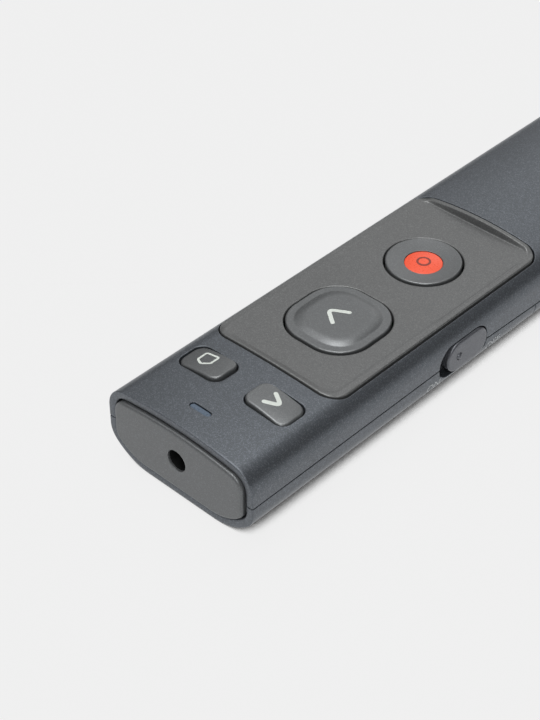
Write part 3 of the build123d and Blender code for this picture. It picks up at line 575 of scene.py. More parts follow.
def seamPath(profile, rows, base, withSlot):
    # the edge along the seam in profile length and run, round the switch slot where that is in the way
    lowered = casing["seamGap"] if base else 0.0
    s = np.interp(rows, profile["p"], profile["s"])
    path = np.stack([rows, runAtZ(s, seamZ(s) - lowered)], -1)
    if withSlot:
        cut = slotRun(-1 if base else 1, lowered)
        cut = np.stack([cut[:, 0], runAtZ(cut[:, 0], cut[:, 1])], -1)
        before = path[path[:, 0] < cut[0, 0] - 0.25]
        after = path[path[:, 0] > cut[-1, 0] + 0.25]
        path = np.concatenate([before, cut, after])
    if base:
        path[:, 1] = halfRun - path[:, 1]
    return path


def sunkHole(outline, lip, place, low):
    # rounded edge of an opening in a top surface and the upright wall down to low(ring)
    rings = [matched(outline, lip + beside), matched(outline, lip), matched(outline, 0.0)]
    surface = [place(ring) for ring in rings]
    edge = bent(surface[1], surface[2], surface[2] - (0, 0, lip))
    return rings[0], rings[2], strip([surface[0], *edge, low(rings[2])])


def closedLoop(edges, counts):
    # the right and left long edges joined by straight runs of points across the ends, and those runs
    right, left = (e[np.append(True, np.hypot(*np.diff(e, axis=0).T) > tiny)] for e in edges)
    across = [
        left[end] + (right[end] - left[end]) * np.linspace(0, 1, count + 1)[:, None]
        for end, count in zip((0, -1), counts)
    ]
    return np.concatenate([across[0], right[1:], across[1][::-1][1:], left[::-1][1:-1]]), across


def casingShell(profile, base, withSlot, wall, inner, holes=(), cutouts=()):
    # outer sheet with rounded edges at the seam, inner sheet one wall further in and the openings' walls;
    # the second result holds the outer and inner points across the front end and across the rear end
    p, (bodyStart, bodyEnd) = profile["p"], profile["body"]
    body = np.arange(bodyStart, bodyEnd, casing["step"])
    rows = np.concatenate([p[p < bodyStart - tiny], body, p[p >= bodyEnd - tiny]])
    lip = casing["seamRound"]
    innerProfile = {"p": np.array([-10.0, 200.0]), "s": np.array([-10.0, 200.0]), "d": np.full(2, wall)}

    def place(q, depth=0.0):
        return casingPoint(profile, base, q[:, 0], q[:, 1], depth)

    def placeInner(q):
        return casingPoint(innerProfile, base, q[:, 0], q[:, 1])

    def inward(edge):
        # the inner surface's edge at the height of each point of the seam's edge
        s = np.interp(edge[:, 0], profile["p"], profile["s"])
        d = np.interp(edge[:, 0], profile["p"], profile["d"])
        z = sectionPoint(s, halfRun - edge[:, 1] if base else edge[:, 1], d)[1]
        s = np.clip(s, *inner)
        t = runAtZ(s, z, wall)
        return np.stack([s, halfRun - t if base else t], -1)

    patches, edges, insides = [], [], []
    for side in (1, -1):
        edge = seamPath(profile, rows, base, withSlot and side > 0)
        mirror = (1, side)
        soft = sideways(edge, lip) * mirror
        edges.append(sideways(edge, lip + beside) * mirror)
        insides.append(inward(edge) * mirror)
        edge = edge * mirror
        lipRows = bent(place(soft), place(edge), place(edge, lip))
        patches.append(strip([place(edges[-1]), *lipRows, placeInner(insides[-1])], closed=False))
    counts = [int(abs(edges[0][end][1] - edges[1][end][1]) / casing["step"]) for end in (0, -1)]
    outerLoop, across = closedLoop(edges, counts)
    innerLoop, innerAcross = closedLoop(insides, counts)
    loops, innerLoops = [outerLoop], [innerLoop]

    def topPlace(depth):
        def surface(x, s):
            return sectionPoint(s, runAtX(s, x, depth), depth)[1]

        return over(surface)

    for outline, holeLip in holes:
        ring, deep, wallPatch = sunkHole(outline, holeLip, topPlace(0.0), topPlace(wall))
        patches.append(wallPatch)
        loops.append(np.stack([ring[:, 1], runAtX(ring[:, 1], ring[:, 0])], -1))
        innerLoops.append(np.stack([deep[:, 1], runAtX(deep[:, 1], deep[:, 0], wall)], -1))
    patches.append(trimmedSheet([*loops, *cutouts], place, casing["step"], rows[1:-1]))
    patches.append(trimmedSheet(innerLoops, placeInner, 1.6))
    return patches, [(place(a), placeInner(b)) for a, b in zip(across, innerAcross)]


frontKnots = [(s, casing["recessInset"]) for s in (casing["recessDepth"], 1.0, 0.7)]
frontKnots += [(drop, casing["recessInset"] - inset) for inset, drop in roundSteps(casing["rimRound"])]
frontKnots.append((0.0, casing["frontRound"] + casing["rimFlat"]))
frontKnots += roundSteps(casing["frontRound"])
frontKnots.append((casing["frontRound"] + 0.1, 0.0))
splitKnots = [(casing["doorStart"], 1.2)]
splitKnots += [(casing["doorStart"] + inset, drop) for inset, drop in roundSteps(casing["splitRound"])]
splitKnots.append((casing["doorStart"] + casing["splitRound"] + 0.1, 0.0))


def bodyProfile(firstKnots, bodyStart, end, radius, flat, bodyEnd):
    # the front knots, then round the rear edge and a little way onto the end face
    knots = firstKnots + [(end - radius - 0.12, 0.0)]
    knots += [(end - drop, inset) for inset, drop in roundSteps(radius)] + [(end, radius + flat)]
    profile = alongProfile(knots, len(firstKnots) - 1)
    profile["body"] = (bodyStart, bodyEnd)
    return profile


bodyStart = frontKnots[-1][0] + 0.3
rearEdge = (length, casing["rearRound"], 0.12, length - casing["rearRound"] - 0.3)
splitEdge = (casing["bulkhead"], casing["splitRound"], 1.26, casing["bulkhead"] - 0.5)
upperProfile = bodyProfile(frontKnots, bodyStart, *rearEdge)
lowerProfile = bodyProfile(frontKnots, bodyStart, *splitEdge)
doorProfile = bodyProfile(splitKnots, casing["doorStart"] + 0.5, *rearEdge)


def rearWall(end, mouth=None):
    # end wall between the outer end face and the inner one, with the receiver's mouth cut out of it
    patches, paths = [], []
    for row, y in zip(end, (half, casing["cavityEnd"] - half)):
        outline = row[:, [0, 2]]
        if mouth is not None:
            outline = np.concatenate([outline, mouth])
        patches.append(trimmedSheet([outline], facing(y)))
        paths.append(row[[-1, 0]] if mouth is None else planar(mouth, y))
    patches.append(strip(paths, closed=False))
    if mouth is not None:
        for side in (0, -1):
            corners = [[row[side] for row in end], [path[-1 - side] for path in paths]]
            patches.append(strip(corners, closed=False))
    return patches


receiver = {
    "z": 8.65, "width": 14.0, "height": 5.4, "corner": 1.2, "from": 128.73, "to": 135.23, "gap": 0.17,
    "innerRound": 0.2, "edgeRound": 0.45, "dip": 0.3, "dipHalfWidth": 3.6, "dipHalfHeight": 1.3,
}
mouthX = receiver["width"] / 2 + receiver["gap"]
mouthZ = receiver["z"] + receiver["height"] / 2 + receiver["gap"]
mouthCorner = receiver["corner"] + receiver["gap"]
turns = np.linspace(0, math.pi / 2, 7)
arc = np.stack([np.cos(turns), np.sin(turns)], -1) * mouthCorner
arc += (mouthX - mouthCorner, mouthZ - mouthCorner)
rightSide = np.concatenate([[(mouthX, casing["seamHeights"][1])], arc])
mouthPath = np.concatenate([rightSide, (rightSide * (-1, 1))[::-1]])

smallHoles = [(outlineOf(smallKey, smallKey["gap"], side), smallKey["lip"]) for side in (-1, 1)]
patches, ends = casingShell(
    upperProfile, False, True, casing["upperWall"], (casing["recessDepth"], casing["cavityEnd"]),
    [(outlineOf(panel, panel["gap"]), panel["lip"]), *smallHoles, (outlineOf(window), window["lip"])],
)
patches += [strip(ends[0], closed=False), *rearWall(ends[1], mouthPath)]
makePiece("upper_casing", patches, "casing_plastic", "casing", "casing_plastic", "top_shell")

patches, ends = casingShell(
    lowerProfile, True, True, casing["upperWall"], (casing["recessDepth"], casing["bulkhead"])
)
patches += [strip(end, closed=False) for end in ends]
makePiece("lower_casing", patches, "casing_plastic", "casing", "casing_plastic", "bottom_shell")

# Grip grooves in the battery door's flat underside
grooves = {
    "first": 68.0, "pitch": 1.6, "count": 5, "width": 0.8, "length": 8.0, "depth": 0.35,
    "from": 67.2, "to": 75.2, "reach": 4.6, "sideSoftness": 0.22, "endSoftness": 0.4,
}


def groovePatch():
    # a fine grid over the grooved field: each groove is a softened trough with closed ends
    s = np.linspace(grooves["from"], grooves["to"], 161)
    x = np.linspace(-grooves["reach"], grooves["reach"], 47)
    s, x = np.meshgrid(s, x, indexing="ij")
    centres = grooves["first"] + grooves["pitch"] * np.arange(grooves["count"])
    gap = np.min(np.abs(s[None] - centres[:, None, None]), axis=0)
    across = softStep((grooves["width"] / 2 - gap) / grooves["sideSoftness"])
    ends = softStep((grooves["length"] / 2 - np.abs(x)) / grooves["endSoftness"])
    field = np.stack([x, s - half, grooves["depth"] * across * ends], -1)
    rim = np.stack([s, x], -1)
    loop = np.concatenate([rim[:-1, 0], rim[-1, :-1], rim[:0:-1, -1], rim[0, :0:-1]])
    return strip(field, closed=False), loop


grooved, grooveLoop = groovePatch()
patches, ends = casingShell(
    doorProfile, True, False, casing["doorWall"], (casing["doorStart"], casing["cavityEnd"]), (), [grooveLoop]
)
patches += [grooved, strip(ends[0], closed=False), *rearWall(ends[1])]
makePiece("battery_cover", patches, "casing_plastic", "battery_door", "casing_plastic", "battery_door")
print("casing made")

# The pillow is the raised middle of the large key
nextKey = {
    "x": 0.0, "station": 31.65, "width": 13.6, "length": 13.9, "corner": 5.3, "spacing": 0.3, "rimZ": 12.2,
    "baseZ": 9.82, "gap": 0.27, "edgeRound": 0.25, "lip": 0.2,
    "pillowWidth": 11.2, "pillowLength": 11.4, "pillowPower": 2.9, "pillowHeight": 0.42, "pillowSlope": 1.6,
    "foot": 0.07,
}
laserKey = {
    "station": 50.5, "radius": 5.7, "rimZ": 12.2, "baseZ": 9.82, "gap": 0.27, "dish": 0.45, "edgeRound": 0.25,
    "lip": 0.2, "dotRadius": 2.84, "dotGap": 0.03, "dotDepth": 0.5, "dotDome": 0.42, "dotSink": 0.11,
    "dotRound": 0.07,
}


def panelOutline(grow):
    # the plate sits close to the left and rear sides of its opening
    reach, play = panel["rearReach"], panel["play"]
    return roundedBox(
        panel["width"] + reach - play, panel["length"] + reach - play, panel["corner"], grow,
        panel["spacing"], (-(reach + play) / 2, panel["station"] + (reach + play) / 2),
    )


def laserRing(radius):
    return circle(radius, 108, (0, laserKey["station"]))


def laserHole(grow):
    return laserRing(laserKey["radius"] + laserKey["gap"] + grow)


def panelZ(x, s, edge=5.0):
    # flat floor, lower where the casing's shoulders fall below it, and rising to the casing's surface near
    # the front and rear ends: edge is the distance from the panel's outline
    rise = topZ(s, x) + panel["proud"] * softStep((panel["station"] + 21.5 - s) / 3.0) - panel["floorZ"]
    up = (rise + np.sqrt(rise**2 + 0.012)) / 2 * softStep((rise - 0.12) / 0.25)
    fall = rise + panel["sideProud"]
    down = (fall - np.sqrt(fall**2 + 0.002)) / 2
    shifts = np.linspace(-0.14, 0.14, 5)
    ramp = np.mean([np.clip(panel["frontBand"] + d - edge, 0, 1) for d in shifts], axis=0)
    roll = softStep((panel["rearBand"] - edge) / panel["rearStep"])
    return panel["floorZ"] + down + up * np.where(s < panel["station"], ramp, roll)


def panelPatches():
    outline = panelOutline(0.0)
    base = level(panel["baseZ"])
    rows = [base(outline)]
    edges = roundSteps(panel["edgeRound"], 5)
    edges += [(edge, 0.0) for edge in np.arange(panel["edgeRound"] + 0.06, 1.62, 0.05)]
    for edge, drop in edges:
        ring = matched(panelOutline, -edge)
        rows.append(upright(ring, panelZ(ring[:, 0], ring[:, 1], edge) - drop))
    patches, loops, floors = [strip(rows)], [ring], [outline]
    for hole, lip in ((outlineOf(nextKey, nextKey["gap"]), nextKey["lip"]), (laserHole, laserKey["lip"])):
        ring, deep, wallPatch = sunkHole(hole, lip, over(panelZ), base)
        patches.append(wallPatch)
        loops.append(ring)
        floors.append(deep)
    return [*patches, trimmedSheet(loops, over(panelZ), 0.55), trimmedSheet(floors, base)]


makePiece("panel_plate", panelPatches(), "panel_plastic", "casing", "panel_plastic", "control_panel")


def keyPatches(outline, row, topAt, step, slopes=()):
    # upright wall, rounded edge, any further rings, and a sheet over the top that follows topAt(x, s)
    rows = [upright(outline(0.0), row["baseZ"])]
    for inset, drop in roundSteps(row["edgeRound"], 6):
        rows.append(over(topAt, -drop)(matched(outline, -inset)))
    rings = [matched(outline, -row["edgeRound"] - beside), *slopes]
    rows += [over(topAt)(ring) for ring in rings]
    top = trimmedSheet([rings[-1]], over(topAt), step)
    return [strip(rows), top, trimmedSheet([outline(0.0)], level(row["baseZ"]))]


nextOutline = outlineOf(nextKey)


def pillowShare(x, s, scale=1.0):
    # superellipse norm (|x/a|^n + |y/b|^n)^(1/n), which is 1 on the pillow's outline
    power = nextKey["pillowPower"]
    a, b = nextKey["pillowWidth"] / 2 * scale, nextKey["pillowLength"] / 2 * scale
    return (np.abs(x / a) ** power + np.abs((s - nextKey["station"]) / b) ** power) ** (1 / power)


def pillowRing(scale):
    # the key's outline drawn in to the scaled pillow's outline, with as many points
    outer = nextOutline(0.0)
    middle = (0, nextKey["station"])
    return (outer - middle) / pillowShare(*outer.T, scale)[:, None] + middle


def nextTop(x, s):
    # flat rim; inside the pillow's outline a parabola that starts at its steepest, after a small foot
    inward = (1 - pillowShare(x, s)) * nextKey["pillowWidth"] / 2
    inward = (inward + np.sqrt(inward**2 + nextKey["foot"] ** 2)) / 2
    up = 1 - np.clip(1 - inward / nextKey["pillowSlope"], 0, 1) ** 2
    return nextKey["rimZ"] + nextKey["pillowHeight"] * up


scales = (1.06, 1.04, 1.025, *np.arange(1.01, 0.6, -0.015))
rings = [matched(nextOutline, -0.5), *[pillowRing(scale) for scale in scales]]
patches = keyPatches(nextOutline, nextKey, nextTop, 0.4, rings)
makePiece("next_key", patches, "key_plastic", "next_key", "key_plastic", "next_button")


def smallTop(side):
    # the casing's own top, raised and leaned outwards, with a dome that falls away from the key's middle
    lift = smallKey["topZ"] - topZ(smallKey["station"], smallKey["x"])

    def top(x, s):
        a = (x - side * smallKey["x"]) / (smallKey["width"] / 2)
        b = (s - smallKey["station"]) / (smallKey["length"] / 2)
        lean = smallKey["lean"] * (side * x - smallKey["x"])
        return topZ(s, x) + lift - lean - smallKey["dome"] * (0.55 * a**2 + 0.45 * b**2) ** 1.3

    return top


for key, node, side in (("home_key", "home_button", -1), ("back_key", "back_button", 1)):
    patches = keyPatches(outlineOf(smallKey, 0.0, side), smallKey, smallTop(side), 0.25)
    makePiece(key, patches, "key_plastic", key, "key_plastic", node)


def laserTop(x, s):
    # parabolic dish inside the rounded edge
    reach = np.hypot(x, s - laserKey["station"]) / (laserKey["radius"] - laserKey["edgeRound"])
    return laserKey["rimZ"] - laserKey["dish"] * np.clip(1 - reach**2, 0, 1)


def laserPatches():
    # disc with a round pocket for the dot
    radius, r = laserKey["radius"], laserKey["edgeRound"]
    pocket = laserKey["dotRadius"] + laserKey["dotGap"]
    rows = [upright(laserRing(radius), laserKey["baseZ"])]
    for inset, drop in roundSteps(r, 6):
        rows.append(upright(laserRing(radius - inset), laserKey["rimZ"] - drop))
    for at in [*np.arange(radius - r - 0.06, pocket + 0.14, -0.15), pocket + 0.12, pocket + 0.06]:
        rows.append(over(laserTop)(laserRing(at)))
    ring = laserRing(pocket)
    rows += bent(rows.pop(), over(laserTop)(ring), over(laserTop, -0.06)(ring), 2)
    floor = over(laserTop, -laserKey["dotDepth"])(ring)
    rows += [floor, upright(laserRing(0.0), floor[:, 2])]
    return [strip(rows), trimmedSheet([laserRing(radius)], level(laserKey["baseZ"]))]


makePiece("laser_key", laserPatches(), "key_plastic", "laser_key", "key_plastic", "laser_button")


def dotTop(x, s):
    # lens over the floor of the dish
    reach = np.hypot(x, s - laserKey["station"]) / laserKey["dotRadius"]
    return laserTop(x, s) - laserKey["dotSink"] + laserKey["dotDome"] * np.clip(1 - reach**2, 0, 1)


def dotPatches():
    radius, r = laserKey["dotRadius"], laserKey["dotRound"]
    floor = laserTop(np.array([radius]), laserKey["station"])[0] - laserKey["dotDepth"] + 0.02
    rows = [upright(laserRing(0.0), floor), upright(laserRing(radius), floor)]
    for inset, drop in roundSteps(r, 4):
        rows.append(over(dotTop, -drop)(laserRing(radius - inset)))
    for at in np.append(np.linspace(radius - r - 0.06, 0.25, 16), 0.0):
        rows.append(over(dotTop)(laserRing(at)))
    return [strip(rows)]


makePiece("laser_dot", dotPatches(), "dot_plastic", "laser_key", "dot_plastic", "laser_button_dot")
print("panel and keys made")

# Printed marks: thin raised shapes that follow the key under them. bend is how far a corner's curve reaches
marks = {
    "next": {"line": [(0.6, 33.3), (-2.05, 31.75), (0.36, 29.96)], "stroke": 0.62, "bend": 0.95},
    "back": {"line": [(5.18, 13.26), (7.12, 12.15), (5.15, 10.99)], "stroke": 0.64, "bend": 0.85},
    "home": {
        "line": [(-7.79, 13.29), (-5.6, 13.43), (-5.53, 11.74), (-6.65, 10.94), (-7.73, 11.44)],
        "stroke": 0.33, "bend": 0.26,
    },
    "laser": {"radius": 0.93, "stroke": 0.34},
}


def widened(points, distance, steps=7):
    # closed line moved outwards by distance, with arcs round its outer corners and mitres at inner ones
    points = np.array(points, float)
    normal = normals(np.roll(points, -1, axis=0) - points)
    result = []
    for i, point in enumerate(points):
        before, after = normal[i - 1], normal[i]
        turn = math.atan2(before[0] * after[1] - before[1] * after[0], before @ after)
        if abs(turn) > math.pi - tiny:
            turn = math.pi
        if turn * distance > 0 and abs(turn) > 0.05:
            q = math.atan2(before[1], before[0]) + np.linspace(0, turn, steps)
            result.append(point + distance * np.stack([np.cos(q), np.sin(q)], -1))
        else:
            result.append((point + distance * (before + after) / (1 + before @ after))[None])
    return np.concatenate(result)


def markPatches(loops, topAt, height=0.02, depth=0.05):
    # a sheet just above the surface, one just below it, and the edge between them
    loops = [fillGaps(loop, 0.2) for loop in loops]
    above, below = over(topAt, height), over(topAt, -depth)
    sheets = [trimmedSheet(loops, place, 0.25) for place in (above, below)]
    return sheets + [strip([above(loop), below(loop)]) for loop in loops]


def softened(points, reach, closed):
    # each corner becomes a quadratic curve that starts and ends at a distance reach from it
    points = np.array(points, float)
    share = np.linspace(0, 1, 6)[:, None]
    result = []
    for i, corner in enumerate(points):
        if not closed and i in (0, len(points) - 1):
            result.append(corner[None])
            continue
        before, after = points[i - 1] - corner, points[(i + 1) % len(points)] - corner
        start = corner + before / np.hypot(*before) * reach
        end = corner + after / np.hypot(*after) * reach
        result.append((1 - share) ** 2 * start + 2 * share * (1 - share) * corner + share**2 * end)
    return np.concatenate(result)


def chevronLoops(row):
    line = softened(row["line"], row["bend"], False)
    return [widened([*line, *line[-2:0:-1]], row["stroke"] / 2)]


def houseLoops(row):
    line = softened(row["line"], row["bend"], True)
    return [widened(line, row["stroke"] / 2), widened(line, -row["stroke"] / 2)]


def ringLoops(row):
    return [laserRing(row["radius"] + row["stroke"] / 2), laserRing(row["radius"] - row["stroke"] / 2)]


for key, shape, topAt, paint in (
    ("next", chevronLoops, nextTop, "mark_paint"),
    ("back", chevronLoops, smallTop(1), "mark_paint"),
    ("home", houseLoops, smallTop(-1), "mark_paint"),
    ("laser", ringLoops, dotTop, "ring_paint"),
):
    makePiece(key + "_mark", markPatches(shape(marks[key]), topAt), paint, key + "_key", None, sharp=30)


def windowTop(x, s):
    return topZ(s, x) - window["sink"]


patches = keyPatches(outlineOf(window, -window["gap"]), window, windowTop, 0.2)
makePiece("indicator_window", patches, "window_plastic", "casing", "window_plastic", "indicator_light_pipe")

cap = {
    "inset": 1.5, "proud": 0.45, "edgeRound": 0.42, "depth": 1.35, "apertureZ": 6.65, "aperture": 1.66,
    "bevel": 0.1, "bore": 1.7, "tube": 2.5, "tubeEnd": 5.55,
    "shadeSleeveStart": -0.1, "shadeSleeveFloor": 3.2, "shadeSleeveEnd": 3.4,
}


def capRing(inset, s):
    # the casing's own outline at its front end, moved inwards
    x, z = sectionPoint(0.0, np.linspace(-halfRun, halfRun, 181)[:-1], inset)
    return np.stack([x, np.full(len(x), s - half), z], -1)


def holeRing(radius, s):
    return planar(circle(radius, 60, (0, cap["apertureZ"])), s - half)


def capPatches():
    # plate with a rounded edge, and the bore that runs on into a tube behind it
    r, face, depth = cap["edgeRound"], -cap["proud"], cap["depth"]
    bevel, aperture = cap["bevel"], cap["aperture"]
    rows = [capRing(cap["inset"], depth)]
    rows += [capRing(cap["inset"] + inset, face + drop) for inset, drop in roundSteps(r, 6)]
    rows.append(capRing(cap["inset"] + r + 0.1, face))
    edge = bent(holeRing(aperture + bevel, face), holeRing(aperture, face), holeRing(aperture, face + bevel))
    hole = [holeRing(aperture + bevel + 0.1, face), *edge, holeRing(aperture, depth)]
    hole += [holeRing(cap["bore"], depth), holeRing(cap["bore"], cap["tubeEnd"])]
    hole += [holeRing(cap["tube"], cap["tubeEnd"]), holeRing(cap["tube"], depth)]
    front, rear = ([a[:, [0, 2]], b[:, [0, 2]]] for a, b in ((rows[-1], hole[0]), (rows[0], hole[-1])))
    return [
        strip(rows), strip(hole), trimmedSheet(front, facing(face - half), 1.0),
        trimmedSheet(rear, facing(depth - half)),
    ]


def boreShadePatches():
    # near-black sleeve with a flat end in the cap's bore, given as (radius, station) pairs: painted shade
    # that keeps the bore dark, with almost no shine
    outer, inner = cap["aperture"], cap["aperture"] - 0.08
    start, floor, end = cap["shadeSleeveStart"], cap["shadeSleeveFloor"], cap["shadeSleeveEnd"]
    outline = [(outer, start), (inner, start + 0.08), (inner, floor), (0.0, floor - 0.2), (0.0, end)]
    outline += [(outer - 0.01, end), (outer, start)]
    return [strip([holeRing(radius, s) for radius, s in outline])]


# the sleeve paints the bore's shade
makePiece("aperture_shade_sleeve", boreShadePatches(), "lining_plastic", "casing", None)
makePiece("nose_cap", capPatches(), "cap_plastic", "casing", "cap_plastic", "front_cap")

knob = {
    "station": 44.24, "z": 6.66, "length": 9.0, "height": 4.94, "proud": 0.2, "backX": 12.0, "flangeX": 11.3,
    "flangeLength": 13.15, "flangeHeight": 6.4, "flangeCorner": 0.5, "edgeRound": 0.3,
    "pipRadius": 0.52, "pipHeight": 0.3, "pipFoot": 0.14, "pipStation": 42.3, "pipMoat": 0.1,
}


def sidePlane(points, x):
    return np.stack([np.broadcast_to(x, len(points)), points[:, 0] - half, points[:, 1]], -1)


def knobOutline(grow):
    return roundedBox(
        knob["length"], knob["height"], knob["height"] / 2, grow, 0.3, (knob["station"], knob["z"])
    )


def knobPatches():
    # flange behind the casing's wall, stadium with a rounded edge, and a small round pip on its face
    def onFace(q, drop=0.0):
        # the casing's own side at that height, moved outwards
        return sidePlane(q, sectionPoint(q[:, 0], runAtZ(q[:, 0], q[:, 1]))[0] + knob["proud"] - drop)

    def pipRing(radius):
        return circle(radius, 36, (knob["pipStation"], knob["z"]))

    r, radius, moat = knob["edgeRound"], knob["pipRadius"], knob["pipRadius"] + knob["pipMoat"]
    flange = roundedBox(
        knob["flangeLength"], knob["flangeHeight"], knob["flangeCorner"], 0.0, 0.5,
        (knob["station"], knob["z"]),
    )
    flangeRows = [sidePlane(flange, knob["backX"]), sidePlane(flange, knob["flangeX"])]
    rows = [sidePlane(knobOutline(0.0), knob["backX"])]
    rows += [onFace(matched(knobOutline, -inset), drop) for inset, drop in roundSteps(r, 6)]
    inner = matched(knobOutline, -r - 0.08)
    rows.append(onFace(inner))
    face = casing["sideX"] + knob["proud"]
    pip = [sidePlane(pipRing(at), face) for at in (moat + 0.06, moat)]
    for at in np.linspace(radius, 0.0, 9):
        lift = (knob["pipHeight"] + knob["pipFoot"]) * math.sqrt(1 - (at / radius) ** 2) - knob["pipFoot"]
        pip.append(sidePlane(pipRing(at), face + lift))
    return [
        strip(rows), strip(pip), trimmedSheet([inner, pipRing(moat + 0.06)], onFace, 0.45),
        trimmedSheet([flange, knobOutline(0.0)], lambda q: sidePlane(q, knob["backX"])),
        trimmedSheet([flange], lambda q: sidePlane(q, knob["flangeX"])), strip(flangeRows),
    ]


makePiece("switch_knob", knobPatches(), "knob_plastic", "power_switch", "knob_plastic", "power_switch_knob")


def receiverOutline(grow):
    return roundedBox(
        receiver["width"], receiver["height"], receiver["corner"], grow, 0.3, (0, receiver["z"])
    )


def receiverEnd(s, way, r):
    # rows round the edge of an end face, then a little way onto it
    rows = [
        planar(matched(receiverOutline, -inset), s + way * drop - half) for inset, drop in roundSteps(r, 6)
    ]
    return rows + [planar(matched(receiverOutline, -r - 0.08), s - half)]


def receiverPatches():
    # rounded block with softened ends and a shallow nail dip in its rear face
    def dipped(q):
        across = q[:, 0] / receiver["dipHalfWidth"]
        up = (q[:, 1] - receiver["z"]) / receiver["dipHalfHeight"]
        depth = receiver["dip"] * softStep((1.1 - np.hypot(across, up)) / 0.8)
        return np.stack([q[:, 0], receiver["to"] - half - depth, q[:, 1]], -1)

    rows = receiverEnd(receiver["from"], 1, receiver["innerRound"])[::-1]
    rows += receiverEnd(receiver["to"], -1, receiver["edgeRound"])
    return [
        strip(rows), trimmedSheet([rows[0][:, [0, 2]]], facing(receiver["from"] - half)),
        trimmedSheet([rows[-1][:, [0, 2]]], dipped, 0.25),
    ]


makePiece(
    "receiver_cover", receiverPatches(), "receiver_plastic", "receiver", "receiver_plastic",
    "receiver_housing",
)

# ON and OFF beside the switch: word, station and middle height
lettering = {
    "height": 1.25, "lift": 0.015, "stretch": 1.1, "capitals": 0.7,  # share of the font's size
    "words": (("ON", 35.45, 4.3), ("OFF", 48.9, 4.2)),
}
for word, station, z in lettering["words"]:
    letters = bpy.data.curves.new("word" + word, "FONT")
    letters.body = word
    letters.size = 1.0
    letters.resolution_u = 6
    holder = bpy.data.objects.new("word" + word, letters)
    bpy.context.scene.collection.objects.link(holder)
    bpy.context.view_layer.update()
    mesh = bpy.data.meshes.new_from_object(holder)
    bpy.data.objects.remove(holder)
    work = bmesh.new()
    work.from_mesh(mesh)
    bmesh.ops.remove_doubles(work, verts=work.verts, dist=1e-5)
    bmesh.ops.triangulate(work, faces=work.faces)
    bmesh.ops.subdivide_edges(work, edges=[e for e in work.edges if e.calc_length() > 0.25], cuts=2)
    bmesh.ops.triangulate(work, faces=work.faces)
    work.to_mesh(mesh)
    work.free()
    points = np.empty(len(mesh.vertices) * 3)
    mesh.vertices.foreach_get("co", points)
    points = points.reshape(-1, 3) * lettering["height"] / lettering["capitals"]
    s = station + points[:, 0] * lettering["stretch"]
    x, height = sectionPoint(s, runAtZ(s, z + points[:, 1] - lettering["height"] / 2), -lettering["lift"])
    placed = np.stack([x, s - half, height], -1) * 0.001
    mesh.vertices.foreach_set("co", placed.astype(np.float32).ravel())
    mesh.update()
    mesh.materials.clear()
    mesh.materials.append(finishes["word_paint"])
    piece = bpy.data.objects.new("word_" + word.lower(), mesh)
    bpy.context.scene.collection.objects.link(piece)
    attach(piece, "casing")
print("details made")

camera = {
    "place": (0.1214, -0.1784, 0.1606), "azimuth": 43.343, "elevation": 39.825, "lens": 84.85,
    "sensor": 36,
}
azimuth, elevation = math.radians(camera["azimuth"]), math.radians(camera["elevation"])
back = Vector(
    (math.sin(azimuth) * math.cos(elevation), -math.cos(azimuth) * math.cos(elevation), math.sin(elevation))
)
right = Vector((math.cos(azimuth), math.sin(azimuth), 0))
cameraData = bpy.data.cameras.new("studioCamera")
cameraData.lens = camera["lens"]
cameraData.sensor_fit = "VERTICAL"
cameraData.sensor_width = camera["sensor"]
cameraData.sensor_height = camera["sensor"]
cameraObject = bpy.data.objects.new("studioCamera", cameraData)
bpy.context.scene.collection.objects.link(cameraObject)
turned = Matrix((right, back.cross(right), back)).transposed().to_4x4()
turned.translation = Vector(camera["place"])
cameraObject.matrix_world = turned
bpy.context.scene.camera = cameraObject
bpy.context.scene.view_settings.view_transform = "Standard"

# The floor shows the camera mostly its own pale colour as emission, with a painted shadow in it that ambient
# occlusion darkens near the object, and a little lit matt colour that keeps the real shadow. The sky is dark
# at the horizon and bright above, with a soft box straight overhead
stage = {
    "floorSize": 3.0,
    "floorZ": -0.00002,
    "floorTone": (239, 239, 239),
    "floorGlow": 0.97,  # share of the floor's colour, seen by the camera, that is emitted and carries a painted shadow from ambient occlusion instead of the light's
    "shinyGlow": 0.95,
    "shinyGain": 1.1,
    "shadowReach": 12.0,
    "shadowSpan": (0.236, 0.388),  # openness of the floor where its shadow is full and where it ends
    "rearSpan": 0.366,  # the span's end beside the rear half
    "rearFrom": -60.0,
    "rearTo": 0.0,
    "skyLevel": 0.9,
    "horizonLevel": 0.1,
    "skySpan": (0.3, 0.85),
    "boxLevel": 5.0,
    "boxSpan": (0.88, 0.97),
    "glowSide": (-0.3, 0.85, 0.4),  # a paler wall behind the object
    "glowLevel": 0.85,
    "glowSpan": (0.88, 0.99),
    "darkSides": (((0.66, 0.58, 0.42), (0.4, 0.85)), ((0.53, -0.56, 0.6), (0.75, 0.95))),
    "darkLevel": 0.18,
    "background": (239, 239, 239),
}
size, z = stage["floorSize"], stage["floorZ"]
floorMesh = bpy.data.meshes.new("floor")
floorCorners = [(-size, -size, z), (size, -size, z), (size, size, z), (-size, size, z)]
floorMesh.from_pydata(floorCorners, [], [(0, 1, 2, 3)])
floor = bpy.data.objects.new("floor", floorMesh)
bpy.context.scene.collection.objects.link(floor)
paper = Finish(bpy.data.materials.new("floor_paper"))
tone = rgb(*stage["floorTone"])
matt = paper.node("ShaderNodeBsdfDiffuse", {}, tone, 0.0)
openness = paper.node(
    "ShaderNodeAmbientOcclusion", {"samples": 16}, output="AO", Distance=stage["shadowReach"] * 0.001
)
along = paper.node("ShaderNodeSeparateXYZ", {}, paper.coordinates, output="Y")
shadowStart, shadowEnd = stage["shadowSpan"]
# painted shadow: the emitted floor colour goes to black where ambient occlusion is strong, and it reaches
# less far beside the rear half
spanEnd = paper.span(along * 1000, stage["rearFrom"], stage["rearTo"], shadowEnd, stage["rearSpan"])
paintedShadowTone = paper.mixed(paper.span(openness, shadowStart, spanEnd, 0.0, 1.0), (0, 0, 0, 1), tone)
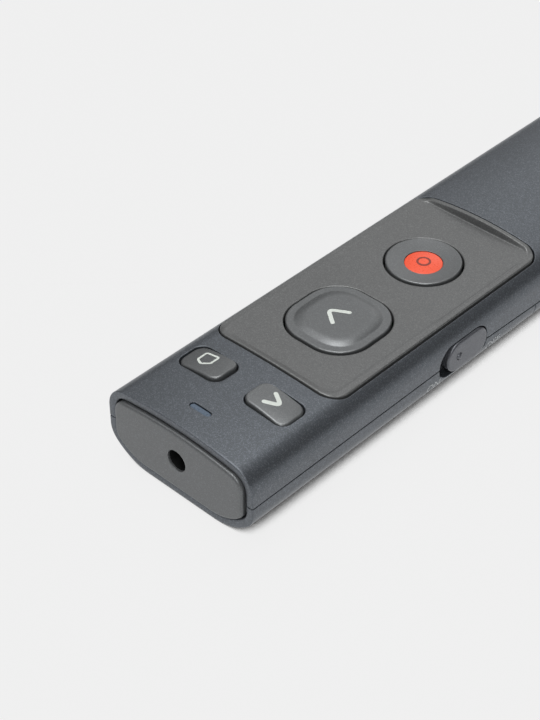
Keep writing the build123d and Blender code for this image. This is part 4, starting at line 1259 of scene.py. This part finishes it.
seen = paper.node("ShaderNodeLightPath", {}, output="Is Camera Ray")
shiny = paper.node("ShaderNodeLightPath", {}, output="Is Glossy Ray")
paintedShadowGlow = paper.node("ShaderNodeEmission", {}, paintedShadowTone, 1.0)
mirrored = paper.node("ShaderNodeEmission", {}, tone, stage["shinyGain"])
shown = paper.node("ShaderNodeMixShader", {}, seen * stage["floorGlow"], matt, paintedShadowGlow)
shown = paper.node("ShaderNodeMixShader", {}, shiny * stage["shinyGlow"], shown, mirrored)
paper.node("ShaderNodeOutputMaterial", {}, shown)
floorMesh.materials.append(paper.owner)

world = bpy.data.worlds.new("studio")
bpy.context.scene.world = world
sky = Finish(world, "Generated")


def towards(direction):
    # cosine of the angle between the looked-at direction and the given one
    aim = tuple(Vector(direction).normalized())
    return sky.node(
        "ShaderNodeVectorMath", {"operation": "DOT_PRODUCT"}, sky.coordinates, aim, output="Value"
    )


height = towards((0, 0, 1))
light = sky.span(height, *stage["skySpan"], stage["horizonLevel"], stage["skyLevel"])
light += sky.span(towards(stage["glowSide"]), *stage["glowSpan"], 0.0, stage["glowLevel"])
light += sky.span(height, *stage["boxSpan"], 0.0, stage["boxLevel"])
for side, span in stage["darkSides"]:
    light *= sky.span(towards(side), *span, 1.0, stage["darkLevel"])
lit = sky.node("ShaderNodeBackground", {}, light, 1.0)
backdrop = sky.node("ShaderNodeBackground", {}, rgb(*stage["background"]), 1.0)
seen = sky.node("ShaderNodeLightPath", {}, output="Is Camera Ray")
sky.node("ShaderNodeOutputWorld", {}, sky.node("ShaderNodeMixShader", {}, seen, lit, backdrop))

lamp = {"place": (0.45, -0.5, 0.62), "size": 0.18, "power": 2.0}
lampData = bpy.data.lights.new("cameraSide", "AREA")
lampData.shape = "SQUARE"
lampData.size = lamp["size"]
lampData.energy = lamp["power"]
lampObject = bpy.data.objects.new("cameraSide", lampData)
bpy.context.scene.collection.objects.link(lampObject)
aim = Vector(lamp["place"])
lampObject.matrix_world = Matrix.Translation(aim) @ aim.to_track_quat("Z", "Y").to_matrix().to_4x4()
print("stage set")
